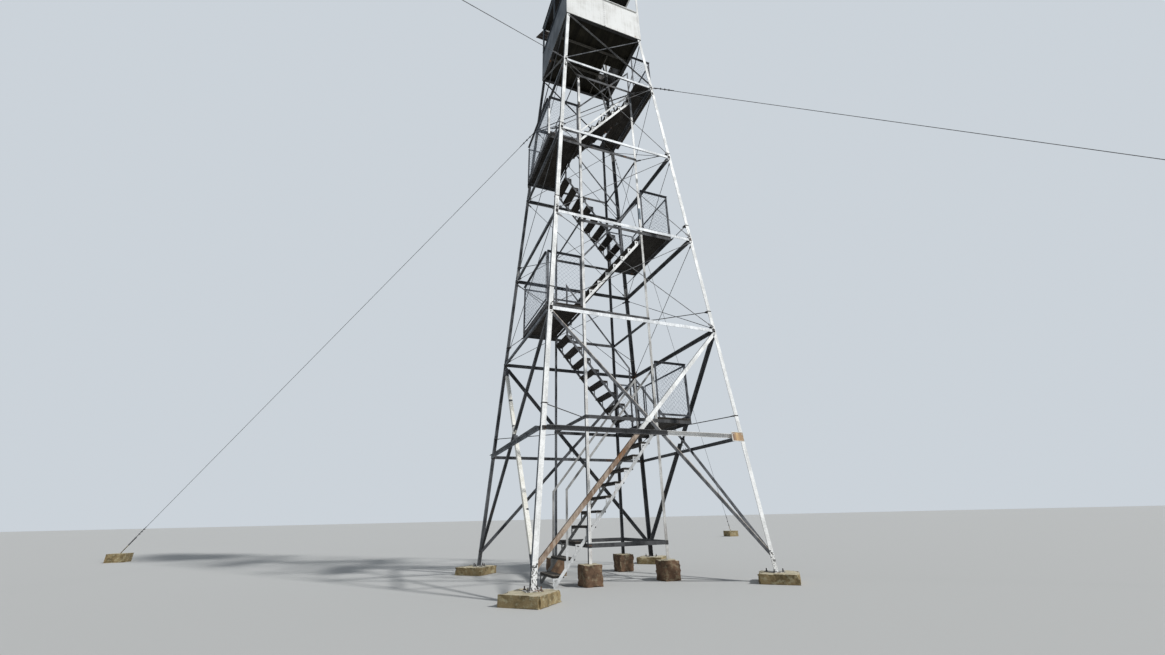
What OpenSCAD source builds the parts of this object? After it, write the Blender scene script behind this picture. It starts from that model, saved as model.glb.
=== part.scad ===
// Fire lookout tower: four leaning angle-iron legs, a stair tower inside them and a sheet-metal cab.
// Millimetres. The origin is on the ground on the tower's centre line, +Z up.
// The front face is towards -Y; odd stair flights climb towards +X, even ones towards -X, and the
// sixth flight is a steep ladder from the top landing to the cab.

/* [Legs] */
// Half the distance between the heels of neighbouring legs at the pier tops
foot_half = 1981; // [1900:1:2100]
// How far each leg leans in along X and along Y, per metre of height
lean = 72.8; // [70:0.1:76]
// Flange width of the leg angles
leg_w = 76; // [65:1:90]
// Thickness of the leg angles
leg_t = 8; // [6:1:10]
// Height of the leg piers
pier_h = 140; // [100:5:250]
// Side of the square leg piers, which are turned corner out
pier_w = 590; // [450:10:700]

/* [Outer bracing] */
// Height of the first struts over the ground
strut_z1 = 2217; // [2100:1:2350]
// Height of the second struts over the ground
strut_z2 = 4250; // [4100:1:4400]
// Height of the third struts over the ground
strut_z3 = 6359; // [6200:1:6500]
// Height of the fourth struts over the ground
strut_z4 = 8679; // [8500:1:8740]
// Height of the fifth struts over the ground, which carry the top landing
strut_z5 = 11031; // [10950:1:11100]
// Flange width of the struts and of the base braces
strut_w = 64; // [50:1:70]
// Thickness of the struts and of the base braces
strut_t = 6; // [4:1:8]
// Diameter of the cross rods
rod_d = 13; // [8:0.5:13]
// Flange width of the braces under the cab
light_w = 25; // [20:1:42]
// Thickness of the braces under the cab, the railing bars and the window bars
light_t = 4; // [3:0.5:5]

/* [Stair tower] */
// Distance over the stair posts along X
post_x = 1453; // [1440:1:1465]
// Distance over the stair posts along Y
post_y = 1724; // [1715:1:1760]
// Flange width of the stair posts
post_w = 51; // [40:1:55]
// Thickness of the stair posts and of their ring beams
post_t = 6; // [4:1:7]
// Height of the stair post piers
stair_pier_h = 305; // [200:5:400]
// Side of the stair post piers
stair_pier_w = 310; // [240:5:330]
// Height of the lowest ring of beams
low_ring_z = 600; // [500:5:700]
// Depth of the ring beams
ring_w = 64; // [50:1:64]
// Diameter of the tie rods between legs and stair tower
tie_d = 16; // [12:1:20]

/* [Landings] */
// Height of the first landing over the ground
deck_z1 = 2700; // [2650:1:2750]
// Climb from one landing to the next, up to the fourth
deck_step = 2068; // [2050:1:2080]
// Gap along X between the left and the right landings
deck_gap = 1486; // [1478:1:1500]
// Width of a landing along X
deck_w = 721; // [650:1:725]
// Width of the top landing along X
top_deck_w = 560; // [500:1:600]
// Thickness of the deck boards
board_t = 38; // [25:1:50]
// Number of boards across a landing
board_n = 4; // [3:1:5]
// Number of boards across the top landing
top_board_n = 3; // [3:1:4]
// Height of the railings over the landings
rail_h = 1100; // [1000:10:1150]
// Width of the railing bars
rail_w = 38; // [30:1:45]

/* [Flights] */
// Number of risers from one landing to the next
risers = 9; // [8:1:10]
// Width of a flight over its side bars
flight_w = 695; // [600:1:695]
// Distance from the centre line to the nearer side bar
flight_in = 110; // [95:1:130]
// Depth of a tread from nose to back
tread_d = 180; // [150:1:180]
// Thickness of a tread
tread_t = 38; // [25:1:50]
// Width of the side bars that carry the treads
side_w = 50; // [40:1:60]
// Thickness of the side bars, the tread brackets and the handrails
side_t = 6; // [4:1:8]
// Height of the handrails over the tread noses
hand_h = 990; // [850:10:1050]

/* [Cab] */
// Outer width of the cab
cab_w = 2134; // [2130:1:2180]
// Height of the cab's underside over the ground
cab_z = 12900; // [12860:1:12920]
// Depth of the floor frame
frame_h = 102; // [90:1:120]
// Height of the window sills over the cab's underside
sill_h = 1090; // [1000:5:1200]
// Height of the wall tops over the cab's underside
wall_h = 2310; // [2250:5:2400]
// Thickness of the wall sheets
sheet_t = 3; // [2:0.5:5]
// Height of the sheets over the windows
head_h = 110; // [80:5:150]
// Rise of the roof from the eaves to the cap
roof_rise = 540; // [400:10:700]
// Overhang of the roof past the walls
eave = 25; // [15:1:60]
// Length of the floor hatch along X
hatch_l = 560; // [500:10:620]
// Width of the cab ladder over its rails
ladder_w = 380; // [300:10:450]
// Distance along Y between the two floor joists
joist_y = 700; // [600:10:800]
// Height of the shutter that stands open on the back wall
shutter_h = 1150; // [900:10:1200]
// Thickness of the shutter
shutter_t = 26; // [18:1:40]
// How far the shutter stands up from level, in degrees
shutter_up = 44; // [0:1:60]

/* [Guy wires] */
// Reach of the anchors from the centre line, along X and along Y
guy_reach = 12200; // [9000:100:14000]
// How far the front left anchor is set in along Y
anchor_in_a = 1700; // [0:50:2500]
// How far the back left anchor is set in along X
anchor_in_c = 700; // [0:50:2500]
// Diameter of a guy wire
guy_d = 12; // [8:1:14]
// Length of the anchor rods above their blocks
anchor_rod = 450; // [300:10:600]
// Side of an anchor block
anchor_w = 500; // [400:10:700]
// Height of an anchor block over the ground
anchor_h = 250; // [200:10:400]

/* [Sign] */
// Width of the bare sign plate
sign_w = 245; // [200:5:400]
// Height of the bare sign plate
sign_h = 160; // [120:5:250]

/* [Hidden] */
// Outer faces
slope = lean / 1000;
face_turn = atan(slope);
seat = leg_t * cos(face_turn);
function half(z) = foot_half - slope * (z - pier_h);
function up(z) = z / cos(face_turn);
struts = [strut_z1, strut_z2, strut_z3, strut_z4, strut_z5];
strut_in = 20;          // strut ends short of the leg heels
brace_in = 50;          // brace ends short of the leg heels
brace_off = 64;         // brace ends above and below the struts
brace_foot = 260;       // low ends of the base braces over the piers
cope = 60;              // cut-back of the second flange at both ends of a bar
lug_l = 110;
lug_w = 40;
lug_over = 15;          // rod end welded onto its lug
gusset_l = 130;
gusset_h = 100;
shoe_w = 230;
plate_w = 90;           // corner plates that hold the tie rods
plate_t = 6;

// Stair tower and landings
px = post_x / 2;
py = post_y / 2;
beam_y = py + post_t;
deck_in = deck_gap / 2;
deck_out = deck_in + deck_w;
top_deck_z = strut_z5 + strut_w / 2 + board_t;
decks = concat([for (i = [0:3]) deck_z1 + i * deck_step], [top_deck_z]);
brace_clear = 33;       // between the braces under the cab and the top landing
top_board_in = 72;      // outermost board of the top landing shorter at each end
top_rail_in = 147;      // top railing in from the board ends
top_deck_y = half(strut_z5) - light_w - brace_clear;
top_out_y = top_deck_y - top_board_in;
top_rail_y = top_deck_y - top_rail_in;
board_gap = 4;
play = 0.1;             // between pieces that are bolted together end to end
function right_side(i) = i % 2 == 0;
function outer_x(i) = i < 4 ? deck_out : deck_in + top_deck_w;

// Flights
going = deck_gap / (risers - 1);
bracket_h = 105;        // height of the tread brackets over the side bars
bracket_w = 22;
clip_w = 45;
newel_x = -1090;        // foot of the first flight's handrails
outer_hand_h = 880;     // outer handrails of the third and fifth flights over their noses
knee_h = 110;           // low rail under the fifth's

// Cab
cab_half = cab_w / 2;
inner = cab_half - sheet_t;
sill_z = cab_z + sill_h;
wall_top = cab_z + wall_h;
head_z = wall_top - head_h;
floor_z = cab_z + frame_h + board_t;
frame_t = 6;
frame_w = 80;
corner_w = 51;
bar_w = 38;
hatch_x = cab_half - sheet_t - frame_w - 4 - hatch_l;
hatch_y = 20;
hatch_w = ladder_w + 120;
rungs = 6;
rung_d = 22;
roof_t = 4;
cap_half = 60;
cap_d = 3 * cap_half;
cap_h = 60;
roof_half = cab_half + eave;
roof_tilt = roof_rise / (roof_half - cap_half);
roof_in = roof_t * sqrt(1 + roof_tilt * roof_tilt) / roof_tilt;
roof_z = wall_top - (eave - roof_in) * roof_tilt;

// Sign
sign_in = 57;           // right edge short of the leg's heel
sign_drop = 45;         // middle under the strut's top edge

// Guy wires: corner directions and anchors, front left, front right, back right, back left
corners = [[-1, -1], [1, -1], [1, 1], [-1, 1]];
anchors = [[-guy_reach, -guy_reach + anchor_in_a], [guy_reach, -guy_reach],
    [guy_reach, guy_reach], [-guy_reach + anchor_in_c, guy_reach]];
ear_l = 60;
ear_d = 24;
band_l = 90;
band_h = 44;
band_t = 8;
function guy_top(k) = [corners[k][0] * half(strut_z5), corners[k][1] * half(strut_z5), strut_z5];
function guy_foot(k) = [anchors[k][0], anchors[k][1], anchor_h];
function guy_run(k) = norm(guy_foot(k) - guy_top(k));
function guy_turn(k) = let (v = guy_foot(k) - guy_top(k)) [0, acos(v[2] / norm(v)), atan2(v[1], v[0])];

// Places its children in the plane of one outer face: X along the face, Z up its slope, Y inwards
module face(k) {
    rotate([0, 0, 90 * k]) translate([0, -half(0), 0]) rotate([-face_turn, 0, 0]) children();
}

// An angle bar in a face plane from p to q, each [x, z] in the plane, with the second flange along
// its upper edge, turned in or out and cut back at both ends
module angle_bar(p, q, w, t, y0, inward = true) {
    run = norm(q - p);
    turn = atan2(q[1] - p[1], q[0] - p[0]);
    side = q[0] > p[0] ? 1 : -1;
    translate([p[0], y0, p[1]]) rotate([0, -turn, 0]) union() {
        translate([0, 0, -w / 2]) cube([run, t, w]);
        translate([cope, inward ? 0 : t - w, side > 0 ? w / 2 - t : -w / 2]) cube([run - 2 * cope, w, t]);
    }
}

// A rod in a face plane from p to q with a flat lug at each end
module lug_rod(p, q, y0) {
    run = norm(q - p);
    turn = atan2(q[1] - p[1], q[0] - p[0]);
    translate([p[0], y0, p[1]]) rotate([0, -turn, 0]) union() {
        for (x = [0, run - lug_l]) translate([x, 0, -lug_w / 2]) cube([lug_l, strut_t, lug_w]);
        translate([lug_l - lug_over, strut_t / 2, 0]) rotate([0, 90, 0])
            cylinder(d = rod_d, h = run - 2 * (lug_l - lug_over), $fn = 24);
    }
}

// Square blocks: the legs' stand corner out, the stair tower's taller ones square on
module piers() {
    color("tan") {
        for (k = [0:3]) rotate([0, 0, 90 * k]) translate([-foot_half, -foot_half, pier_h / 2])
            rotate([0, 0, 45]) cube([pier_w, pier_w, pier_h], center = true);
        for (x = [-1, 1], y = [-1, 1])
            translate([x * (px - post_w / 2), y * (py - post_w / 2), stair_pier_h / 2])
                cube([stair_pier_w, stair_pier_w, stair_pier_h], center = true);
    }
}

// Base plates under the legs
module leg_shoes() {
    mid = -half(pier_h) + leg_w / 2;
    color("whitesmoke") for (k = [0:3]) rotate([0, 0, 90 * k])
        translate([mid, mid, pier_h + leg_t / 2]) cube([shoe_w, shoe_w, leg_t], center = true);
}

// Four angles whose flanges lie in the leaning faces, standing on their shoes
module legs() {
    low = half(pier_h + leg_t);
    high = half(cab_z);
    l = [[0, 0], [leg_w, 0], [leg_w, leg_t], [leg_t, leg_t], [leg_t, leg_w], [0, leg_w]];
    color("gainsboro") for (k = [0:3]) rotate([0, 0, 90 * k]) polyhedron(
        points = concat([for (q = l) [q[0] - low, q[1] - low, pier_h + leg_t]],
            [for (q = l) [q[0] - high, q[1] - high, cab_z]]),
        faces = concat([[3, 0, 1, 2], [3, 4, 5, 0], [9, 8, 7, 6], [9, 6, 11, 10]],
            [for (i = [0:5]) [i, i + 6, (i + 1) % 6 + 6, (i + 1) % 6]]));
}

// The lowest strut is bolted outside the legs with its flange outwards, the others inside
module face_struts(k) {
    color("whitesmoke") face(k) for (i = [0:4]) {
        end = half(struts[i]) - strut_in;
        angle_bar([-end, up(struts[i])], [end, up(struts[i])], strut_w, strut_t,
            i == 0 ? -strut_t : seat, i > 0);
    }
}

// Two crossed angles from the legs' feet to the second struts; one runs through, the other is in two
// halves, and a plate on their outer side joins them
module base_cross() {
    foot = [half(pier_h + brace_foot) - brace_in, up(pier_h + brace_foot)];
    head = [half(strut_z2 - brace_off) - brace_in, up(strut_z2 - brace_off)];
    span = [foot[0] + head[0], head[1] - foot[1]];
    dir = span / norm(span);
    cross_z = foot[1] + span[1] * foot[0] / span[0];
    stop = 0.65 * strut_w;
    angle_bar([-foot[0], foot[1]], head, strut_w, strut_t, seat);
    angle_bar([foot[0], foot[1]], [stop * dir[0], cross_z - stop * dir[1]], strut_w, strut_t, seat);
    angle_bar([-stop * dir[0], cross_z + stop * dir[1]], [-head[0], head[1]], strut_w, strut_t, seat);
    translate([-gusset_l / 2, seat - strut_t - play, cross_z - gusset_h / 2])
        cube([gusset_l, strut_t, gusset_h]);
}

// Crossed rods between two struts, one seated inside the legs and one outside them
module rod_cross(za, zb) {
    a = [half(za + brace_off) - brace_in, up(za + brace_off)];
    b = [half(zb - brace_off) - brace_in, up(zb - brace_off)];
    lug_rod([-a[0], a[1]], b, seat);
    lug_rod(a, [-b[0], b[1]], -strut_t);
}

// Light angles crossed under the cab
module top_cross() {
    a = [half(strut_z5 + brace_off) - brace_in, up(strut_z5 + brace_off)];
    b = [half(cab_z - brace_off) - brace_in, up(cab_z - brace_off)];
    angle_bar([-a[0], a[1]], b, light_w, light_t, seat);
    angle_bar(a, [-b[0], b[1]], light_w, light_t, -light_t, false);
}

module face_braces(k) {
    color("lightgray") face(k) {
        base_cross();
        for (i = [1:3]) rod_cross(struts[i], struts[i + 1]);
        top_cross();
    }
}

// Four upright angles with their heels outwards
module stair_posts() {
    h = top_deck_z - board_t - stair_pier_h;
    color("whitesmoke") for (m = [0, 1], n = [0, 1]) mirror([m, 0, 0]) mirror([0, n, 0])
        translate([-px, -py, stair_pier_h]) union() {
            cube([post_w, post_t, h]);
            cube([post_t, post_w, h]);
        }
}

// Beams round the stair posts at the foot and at each landing, longer on the landing's side
module stair_rings() {
    color("dimgray") for (i = [-1:4]) {
        top = i < 0 ? low_ring_z : decks[i] - board_t;
        reach = i < 0 ? px + post_t : i < 4 ? deck_out : half(strut_z5) - strut_w - 20;
        mirror([i < 0 || right_side(i) ? 0 : 1, 0, 0]) translate([0, 0, top - ring_w]) {
            for (n = [0, 1]) mirror([0, n, 0]) union() {
                translate([-px - post_t, -beam_y, 0]) cube([px + post_t + reach, post_t, ring_w]);
                if (i >= 0) translate([deck_in, -beam_y, ring_w - post_t])
                    cube([reach - post_t - play - deck_in, ring_w, post_t]);
            }
            for (x = [-px - post_t, px]) translate([x, -py + play, 0])
                cube([post_t, post_y - 2 * play, ring_w]);
        }
    }
}

// Level rods from plates in the legs' corners to the landings' and the stair tower's corners
module stair_ties() {
    color("gray") for (i = [0:4]) {
        top = decks[i] - board_t - ring_w;
        corner = half(top - plate_t) - leg_t - 0.1;
        for (c = corners) {
            far = i < 4 && c[0] == (right_side(i) ? 1 : -1);
            a = [corner - plate_w / 2, corner - plate_w / 2];
            b = [far ? deck_out - lug_w / 2 : px, py];
            run = norm(b - a) + (far ? lug_over : -play);
            mirror([c[0] < 0 ? 1 : 0, 0, 0]) mirror([0, c[1] < 0 ? 1 : 0, 0])
                translate([0, 0, top - plate_t]) union() {
                    translate([corner - plate_w, corner - plate_w, 0]) cube([plate_w, plate_w, plate_t]);
                    translate(a) rotate([0, 0, atan2(b[1] - a[1], b[0] - a[0])]) {
                        translate([run - lug_l, -lug_w / 2, 0]) cube([lug_l, lug_w, plate_t]);
                        translate([0, 0, plate_t / 2]) rotate([0, 90, 0])
                            cylinder(d = tie_d, h = run - lug_l + 2 * lug_over, $fn = 24);
                    }
                }
        }
    }
}

// Deck boards along Y, with an edge angle between the ring beams
module landing(i) {
    n = i < 4 ? board_n : top_board_n;
    pitch = (outer_x(i) - deck_in) / n;
    mirror([right_side(i) ? 0 : 1, 0, 0]) translate([0, 0, decks[i] - board_t]) {
        color("saddlebrown") for (b = [0:n - 1]) {
            y = i < 4 ? beam_y : b < n - 1 ? top_deck_y : top_out_y;
            translate([deck_in + b * pitch, -y, 0]) cube([pitch - board_gap, 2 * y, board_t]);
        }
        if (i < 4) color("dimgray") translate([deck_out - post_t, 0, -ring_w]) union() {
            translate([0, -py + play, 0]) cube([post_t, post_y - 2 * play, ring_w]);
            translate([post_t - ring_w, -py + ring_w, ring_w - post_t])
                cube([ring_w, post_y - 2 * ring_w, post_t]);
        }
    }
}

// One side of a railing, l long along X, with its top flange outwards (-Y)
module rail_side(l, low = true) {
    union() {
        translate([0, 0, rail_h - rail_w]) cube([l, light_t, rail_w]);
        translate([0, light_t - rail_w, rail_h - light_t]) cube([l, rail_w, light_t]);
        if (low) translate([0, 0, rail_w]) cube([l, light_t, rail_w]);
        for (x = [0, l - rail_w]) translate([x, 0, 0]) cube([rail_w, light_t, rail_h]);
    }
}

// Railings on the three outer sides of a landing
module railing(i) {
    y = i < 4 ? beam_y : top_rail_y;
    x = outer_x(i) - (i < 4 ? 0 : board_gap);
    color("silver") mirror([right_side(i) ? 0 : 1, 0, 0]) translate([0, 0, decks[i]]) {
        for (n = [0, 1]) mirror([0, n, 0]) translate([deck_in, -y, 0]) rail_side(x - deck_in, i < 4);
        translate([x, -y + rail_w + play, 0]) rotate([0, 0, 90]) rail_side(2 * (y - rail_w - play));
    }
}

// Outline of a flight's side bar with its brackets and end clips; z1 is the level the treads climb to
module side_outline(n, rise, z0, z1, clip_top) {
    tilt = rise / going;
    depth = side_w * sqrt(1 + tilt * tilt);
    function bar(x) = z1 - rise - tread_t - bracket_h + (x - deck_in + going) * tilt;
    foot = deck_in - going + (depth / 2 - z1 + rise + tread_t + bracket_h) / tilt;
    polygon(z0 > 0
        ? [[-px, bar(-px) - depth], [px, bar(px) - depth], [px, bar(px)], [-px, bar(-px)]]
        : [[foot, 0], [foot + depth / 2 / tilt, 0], [px, bar(px) - depth], [px, bar(px)], [foot, depth / 2]]);
    for (j = [1:n]) {
        x = deck_in - j * going;
        under = z1 - j * rise - tread_t;
        end = x + (bracket_h + 8) / tilt;
        polygon([[x, bar(x) - 8], [x + bracket_w, bar(x + bracket_w) - 8],
            [x + bracket_w, under - bracket_w], [end, under - bracket_w], [end, under], [x, under]]);
    }
    translate([px - clip_w, bar(px) - depth / 2]) square([clip_w, clip_top - bar(px) + depth / 2]);
    if (z0 > 0) translate([-px, z0 - board_t - ring_w])
        square([clip_w, bar(-px) - depth / 2 - z0 + board_t + ring_w]);
}

// Handrail h over the noses from x0 to x1, with an upright at each end
module hand_rail(x0, x1, h, rise, z1) {
    tilt = rise / going;
    depth = sqrt(1 + tilt * tilt);
    function nose(x) = z1 - rise + (x - deck_in + going) * tilt;
    polygon([[x0, nose(x0) + h - rail_w * depth], [x1, nose(x1) + h - rail_w * depth],
        [x1, nose(x1) + h], [x0, nose(x0) + h]]);
    for (x = [x0, x1 - rail_w]) {
        low = -tread_t - bracket_h - side_w * depth / 2;
        polygon([[x, nose(x) + low], [x + rail_w, nose(x + rail_w) + low],
            [x + rail_w, nose(x + rail_w) + h - 5], [x, nose(x) + h - 5]]);
    }
}

// A flight on the front half of the tower: treads between two side bars, and its handrails
module flight_body(i, z0, z1, clip_top) {
    rise = (z1 - (i > 0 ? z0 : z1 - deck_step)) / risers;
    n = i > 0 ? risers - 1 : floor((z1 - tread_t) / rise);
    far = -flight_in - flight_w;
    color("saddlebrown") for (j = [1:n])
        translate([deck_in - j * going, far + side_t + play, z1 - j * rise - tread_t])
            cube([tread_d, flight_w - 2 * side_t - 2 * play, tread_t]);
    color("whitesmoke") {
        for (y = [-flight_in, far + side_t]) translate([0, y, 0]) rotate([90, 0, 0])
            linear_extrude(side_t) side_outline(n, rise, z0, z1, clip_top);
        if (i == 0 || !right_side(i)) translate([0, light_t - flight_in, 0]) rotate([90, 0, 0])
            linear_extrude(light_t) hand_rail(i > 0 ? -px : newel_x, px, hand_h, rise, z1);
        if (right_side(i)) translate([0, far, 0]) rotate([90, 0, 0]) linear_extrude(light_t) {
            hand_rail(i > 0 ? -px : newel_x, px, i > 0 ? outer_hand_h : hand_h, rise, z1);
            if (i == 4) hand_rail(-px, px, knee_h, rise, z1);
        }
    }
}

// The fifth flight's treads climb as far as the others', a little short of the top landing
module flight(i) {
    z0 = i > 0 ? decks[i - 1] : 0;
    z1 = i < 4 ? decks[i] : z0 + deck_step;
    rotate([0, 0, right_side(i) ? 0 : 180]) flight_body(i, z0, z1, decks[i] - board_t);
}

// Ladder from the top landing's inner edge to the hatch, leaning against the floor over the hatch's end
module cab_ladder() {
    foot = deck_in + 20;
    top = hatch_x + play;
    h = floor_z - top_deck_z;
    depth = side_w * sqrt(1 + pow((foot - top) / h, 2));
    y0 = hatch_y + (hatch_w - ladder_w) / 2;
    color("whitesmoke") translate([0, 0, top_deck_z]) {
        for (y = [y0 + side_t, y0 + ladder_w]) translate([0, y, 0]) rotate([90, 0, 0])
            linear_extrude(side_t) polygon([[foot, 0], [foot + depth, 0], [top + depth, h], [top, h]]);
        for (j = [1:rungs]) translate([foot + (top - foot) * j / (rungs + 1) + depth / 2,
            y0 + side_t + play, h * j / (rungs + 1)]) rotate([-90, 0, 0])
                cylinder(d = rung_d, h = ladder_w - 2 * side_t - 2 * play, $fn = 24);
    }
}

// Angles round the cab's underside, two joists, the back one short of the hatch, and the hatch's header
module cab_frame() {
    color("dimgray") translate([0, 0, cab_z]) {
        for (k = [0:3]) rotate([0, 0, 90 * k]) union() {
            side = k % 2 == 0 ? inner : inner - frame_t - play;
            flange = inner - play - (k % 2 == 0 ? frame_t : frame_w);
            translate([-side, -inner, 0]) cube([2 * side, frame_t, frame_h]);
            translate([-flange, -inner, 0]) cube([2 * flange, frame_w, frame_t]);
        }
        translate([-inner + frame_t + play, -joist_y / 2, frame_t + play])
            cube([2 * (inner - frame_t - play), frame_t, frame_h - frame_t - play]);
        translate([-inner + frame_t + play, joist_y / 2, frame_t + play])
            cube([hatch_x - frame_t + inner - frame_t - 2 * play, frame_t, frame_h - frame_t - play]);
        translate([hatch_x - frame_t, -joist_y / 2 + frame_t + play, frame_t + play])
            cube([frame_t, inner + joist_y / 2 - 2 * (frame_t + play), frame_h - frame_t - play]);
    }
}

// Floor in four panels round the hatch opening over the cab ladder
module cab_floor() {
    hatch_end = hatch_x + hatch_l;
    color("sienna") translate([0, 0, cab_z + frame_h]) {
        translate([-inner, -inner, 0]) cube([2 * inner, inner + hatch_y, board_t]);
        translate([-inner, hatch_y + play, 0]) cube([hatch_x + inner, hatch_w - 2 * play, board_t]);
        translate([hatch_end, hatch_y + play, 0]) cube([inner - hatch_end, hatch_w - 2 * play, board_t]);
        translate([-inner, hatch_y + hatch_w, 0]) cube([2 * inner, inner - hatch_y - hatch_w, board_t]);
    }
}

// Lower sheet and head sheet of one wall
module cab_wall(k) {
    l = k % 2 == 0 ? cab_half : inner;
    color("white") rotate([0, 0, 90 * k]) translate([-l, -cab_half, 0]) {
        translate([0, 0, cab_z]) cube([2 * l, sheet_t, sill_h]);
        translate([0, 0, head_z]) cube([2 * l, sheet_t, head_h]);
    }
}

// Corner angles inside the sheets
module cab_corners() {
    h = wall_top - floor_z;
    color("white") for (k = [0:3]) rotate([0, 0, 90 * k]) translate([-inner, -inner, floor_z]) union() {
        cube([corner_w, frame_t, h]);
        cube([frame_t, corner_w, h]);
    }
}

// Sill angle, head angle and middle bar of each window opening, inside the sheets
module window_frames() {
    l = inner - corner_w;
    h = head_z - sill_z;
    color("white") for (k = [0:3]) rotate([0, 0, 90 * k]) translate([0, -inner, 0]) {
        for (top = [false, true]) translate([-l, 0, top ? head_z : sill_z]) union() {
            translate([0, 0, top ? 0 : -bar_w]) cube([2 * l, light_t, bar_w]);
            translate([0, 0, top ? 0 : -light_t]) cube([2 * l, bar_w, light_t]);
        }
        translate([0, 0, sill_z + play]) union() {
            translate([-bar_w / 2, 0, 0]) cube([bar_w, light_t, h - 2 * play]);
            translate([-light_t / 2, 0, 0]) cube([light_t, bar_w, h - 2 * play]);
        }
    }
}

// Boarded shutter in a light steel edge, hinged over the left half of the back wall and swung up
module shutter() {
    edge = 60;
    color("peru") translate([-cab_half, cab_half, head_z]) rotate([shutter_up, 0, 0]) {
        translate([0, 0, -shutter_t]) cube([cab_half - bar_w / 2, shutter_h - edge, shutter_t]);
    }
    color("slategray") translate([-cab_half, cab_half, head_z]) rotate([shutter_up, 0, 0])
        translate([0, shutter_h - edge, -shutter_t]) cube([cab_half - bar_w / 2, edge, shutter_t]);
}

// Four roof slopes of thin sheet, open below, that bear on the wall tops' outer edges
module roof() {
    function ring(h, z) = [[play - h, -h, z], [h - play, -h, z]];
    color("lightslategray") for (k = [0:3]) rotate([0, 0, 90 * k]) polyhedron(
        points = concat(ring(roof_half, roof_z), ring(cap_half, roof_z + roof_rise),
            ring(roof_half - roof_in, roof_z), ring(cap_half - roof_in, roof_z + roof_rise)),
        faces = [[0, 2, 3, 1], [4, 5, 7, 6], [0, 1, 5, 4], [2, 6, 7, 3], [0, 4, 6, 2], [1, 3, 7, 5]]);
}

// Round cap over the opening where the slopes end
module roof_cap() {
    color("slategray") translate([0, 0, roof_z + roof_rise]) cylinder(d = cap_d, h = cap_h, $fn = 48);
}

// Flat bands round the leg corners, each with a round ear in line with its wire
module guy_bands() {
    color("dimgray") for (k = [0:3]) union() {
        face(k) translate([-half(strut_z5) - band_t, -band_t, up(strut_z5) - band_h / 2])
            cube([band_l + band_t, band_t, band_h]);
        face((k + 3) % 4) translate([half(strut_z5) - band_l, -band_t, up(strut_z5) - band_h / 2])
            cube([band_l + band_t, band_t, band_h]);
        translate(guy_top(k)) rotate(guy_turn(k)) translate([0, 0, band_t + 4])
            cylinder(d = ear_d, h = ear_l - band_t - 4, $fn = 32);
    }
}

module guy_wires() {
    color("dimgray") for (k = [0:3]) translate(guy_top(k)) rotate(guy_turn(k))
        translate([0, 0, ear_l]) cylinder(d = guy_d, h = guy_run(k) - ear_l - anchor_rod, $fn = 8);
}

// Low blocks with a rod in line with each wire
module guy_anchors() {
    sunk = 60;
    color("tan") for (k = [0:3]) union() {
        translate([anchors[k][0], anchors[k][1], anchor_h / 2])
            cube([anchor_w, anchor_w, anchor_h], center = true);
        translate(guy_top(k)) rotate(guy_turn(k)) translate([0, 0, guy_run(k) - anchor_rod])
            cylinder(d = ear_d, h = anchor_rod + sunk, $fn = 32);
    }
}

// Bare plate on the edge of the lowest front strut's flange
module sign_plate() {
    plate = 3;
    color("goldenrod") face(0)
        translate([half(strut_z1) - sign_in - sign_w, -strut_w - plate,
            up(strut_z1) + strut_w / 2 - sign_drop - sign_h / 2]) cube([sign_w, plate, sign_h]);
}

piers();
leg_shoes();
legs();
face_struts(0);  // struts_front
face_struts(1);  // struts_right
face_struts(2);  // struts_back
face_struts(3);  // struts_left
face_braces(0);  // braces_front
face_braces(1);  // braces_right
face_braces(2);  // braces_back
face_braces(3);  // braces_left
stair_posts();
stair_rings();
stair_ties();
landing(0);  // landing_1
landing(1);  // landing_2
landing(2);  // landing_3
landing(3);  // landing_4
landing(4);  // landing_5
railing(0);  // railing_1
railing(1);  // railing_2
railing(2);  // railing_3
railing(3);  // railing_4
railing(4);  // railing_5
flight(0);  // flight_1
flight(1);  // flight_2
flight(2);  // flight_3
flight(3);  // flight_4
flight(4);  // flight_5
cab_ladder();  // flight_6
cab_frame();
cab_floor();
cab_wall(0);  // cab_wall_front
cab_wall(1);  // cab_wall_right
cab_wall(2);  // cab_wall_back
cab_wall(3);  // cab_wall_left
cab_corners();
window_frames();
shutter();
roof();
roof_cap();
guy_wires();
guy_bands();
guy_anchors();
sign_plate();
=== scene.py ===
import bpy
import bmesh
import math
from mathutils import Matrix, Vector, noise


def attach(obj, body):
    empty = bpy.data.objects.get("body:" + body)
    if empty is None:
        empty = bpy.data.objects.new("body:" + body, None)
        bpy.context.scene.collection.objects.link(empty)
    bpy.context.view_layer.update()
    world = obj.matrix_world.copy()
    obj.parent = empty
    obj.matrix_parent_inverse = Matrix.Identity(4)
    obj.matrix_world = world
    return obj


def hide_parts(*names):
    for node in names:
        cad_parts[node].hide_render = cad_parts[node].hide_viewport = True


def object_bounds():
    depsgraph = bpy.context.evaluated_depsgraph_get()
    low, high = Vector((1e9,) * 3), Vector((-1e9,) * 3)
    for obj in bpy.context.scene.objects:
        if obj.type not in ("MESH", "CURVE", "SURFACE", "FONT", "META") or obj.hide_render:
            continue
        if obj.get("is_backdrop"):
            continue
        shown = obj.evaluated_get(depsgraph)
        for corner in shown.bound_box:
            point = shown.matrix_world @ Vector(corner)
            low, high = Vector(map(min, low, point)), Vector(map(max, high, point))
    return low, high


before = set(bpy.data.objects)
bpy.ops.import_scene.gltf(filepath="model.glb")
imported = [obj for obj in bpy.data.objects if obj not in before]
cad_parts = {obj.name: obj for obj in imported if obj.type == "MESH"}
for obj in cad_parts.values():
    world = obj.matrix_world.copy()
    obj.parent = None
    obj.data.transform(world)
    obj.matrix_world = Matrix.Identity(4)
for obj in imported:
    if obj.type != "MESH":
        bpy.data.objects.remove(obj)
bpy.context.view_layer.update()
print("frame loaded:", len(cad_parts), "nodes")

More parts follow.
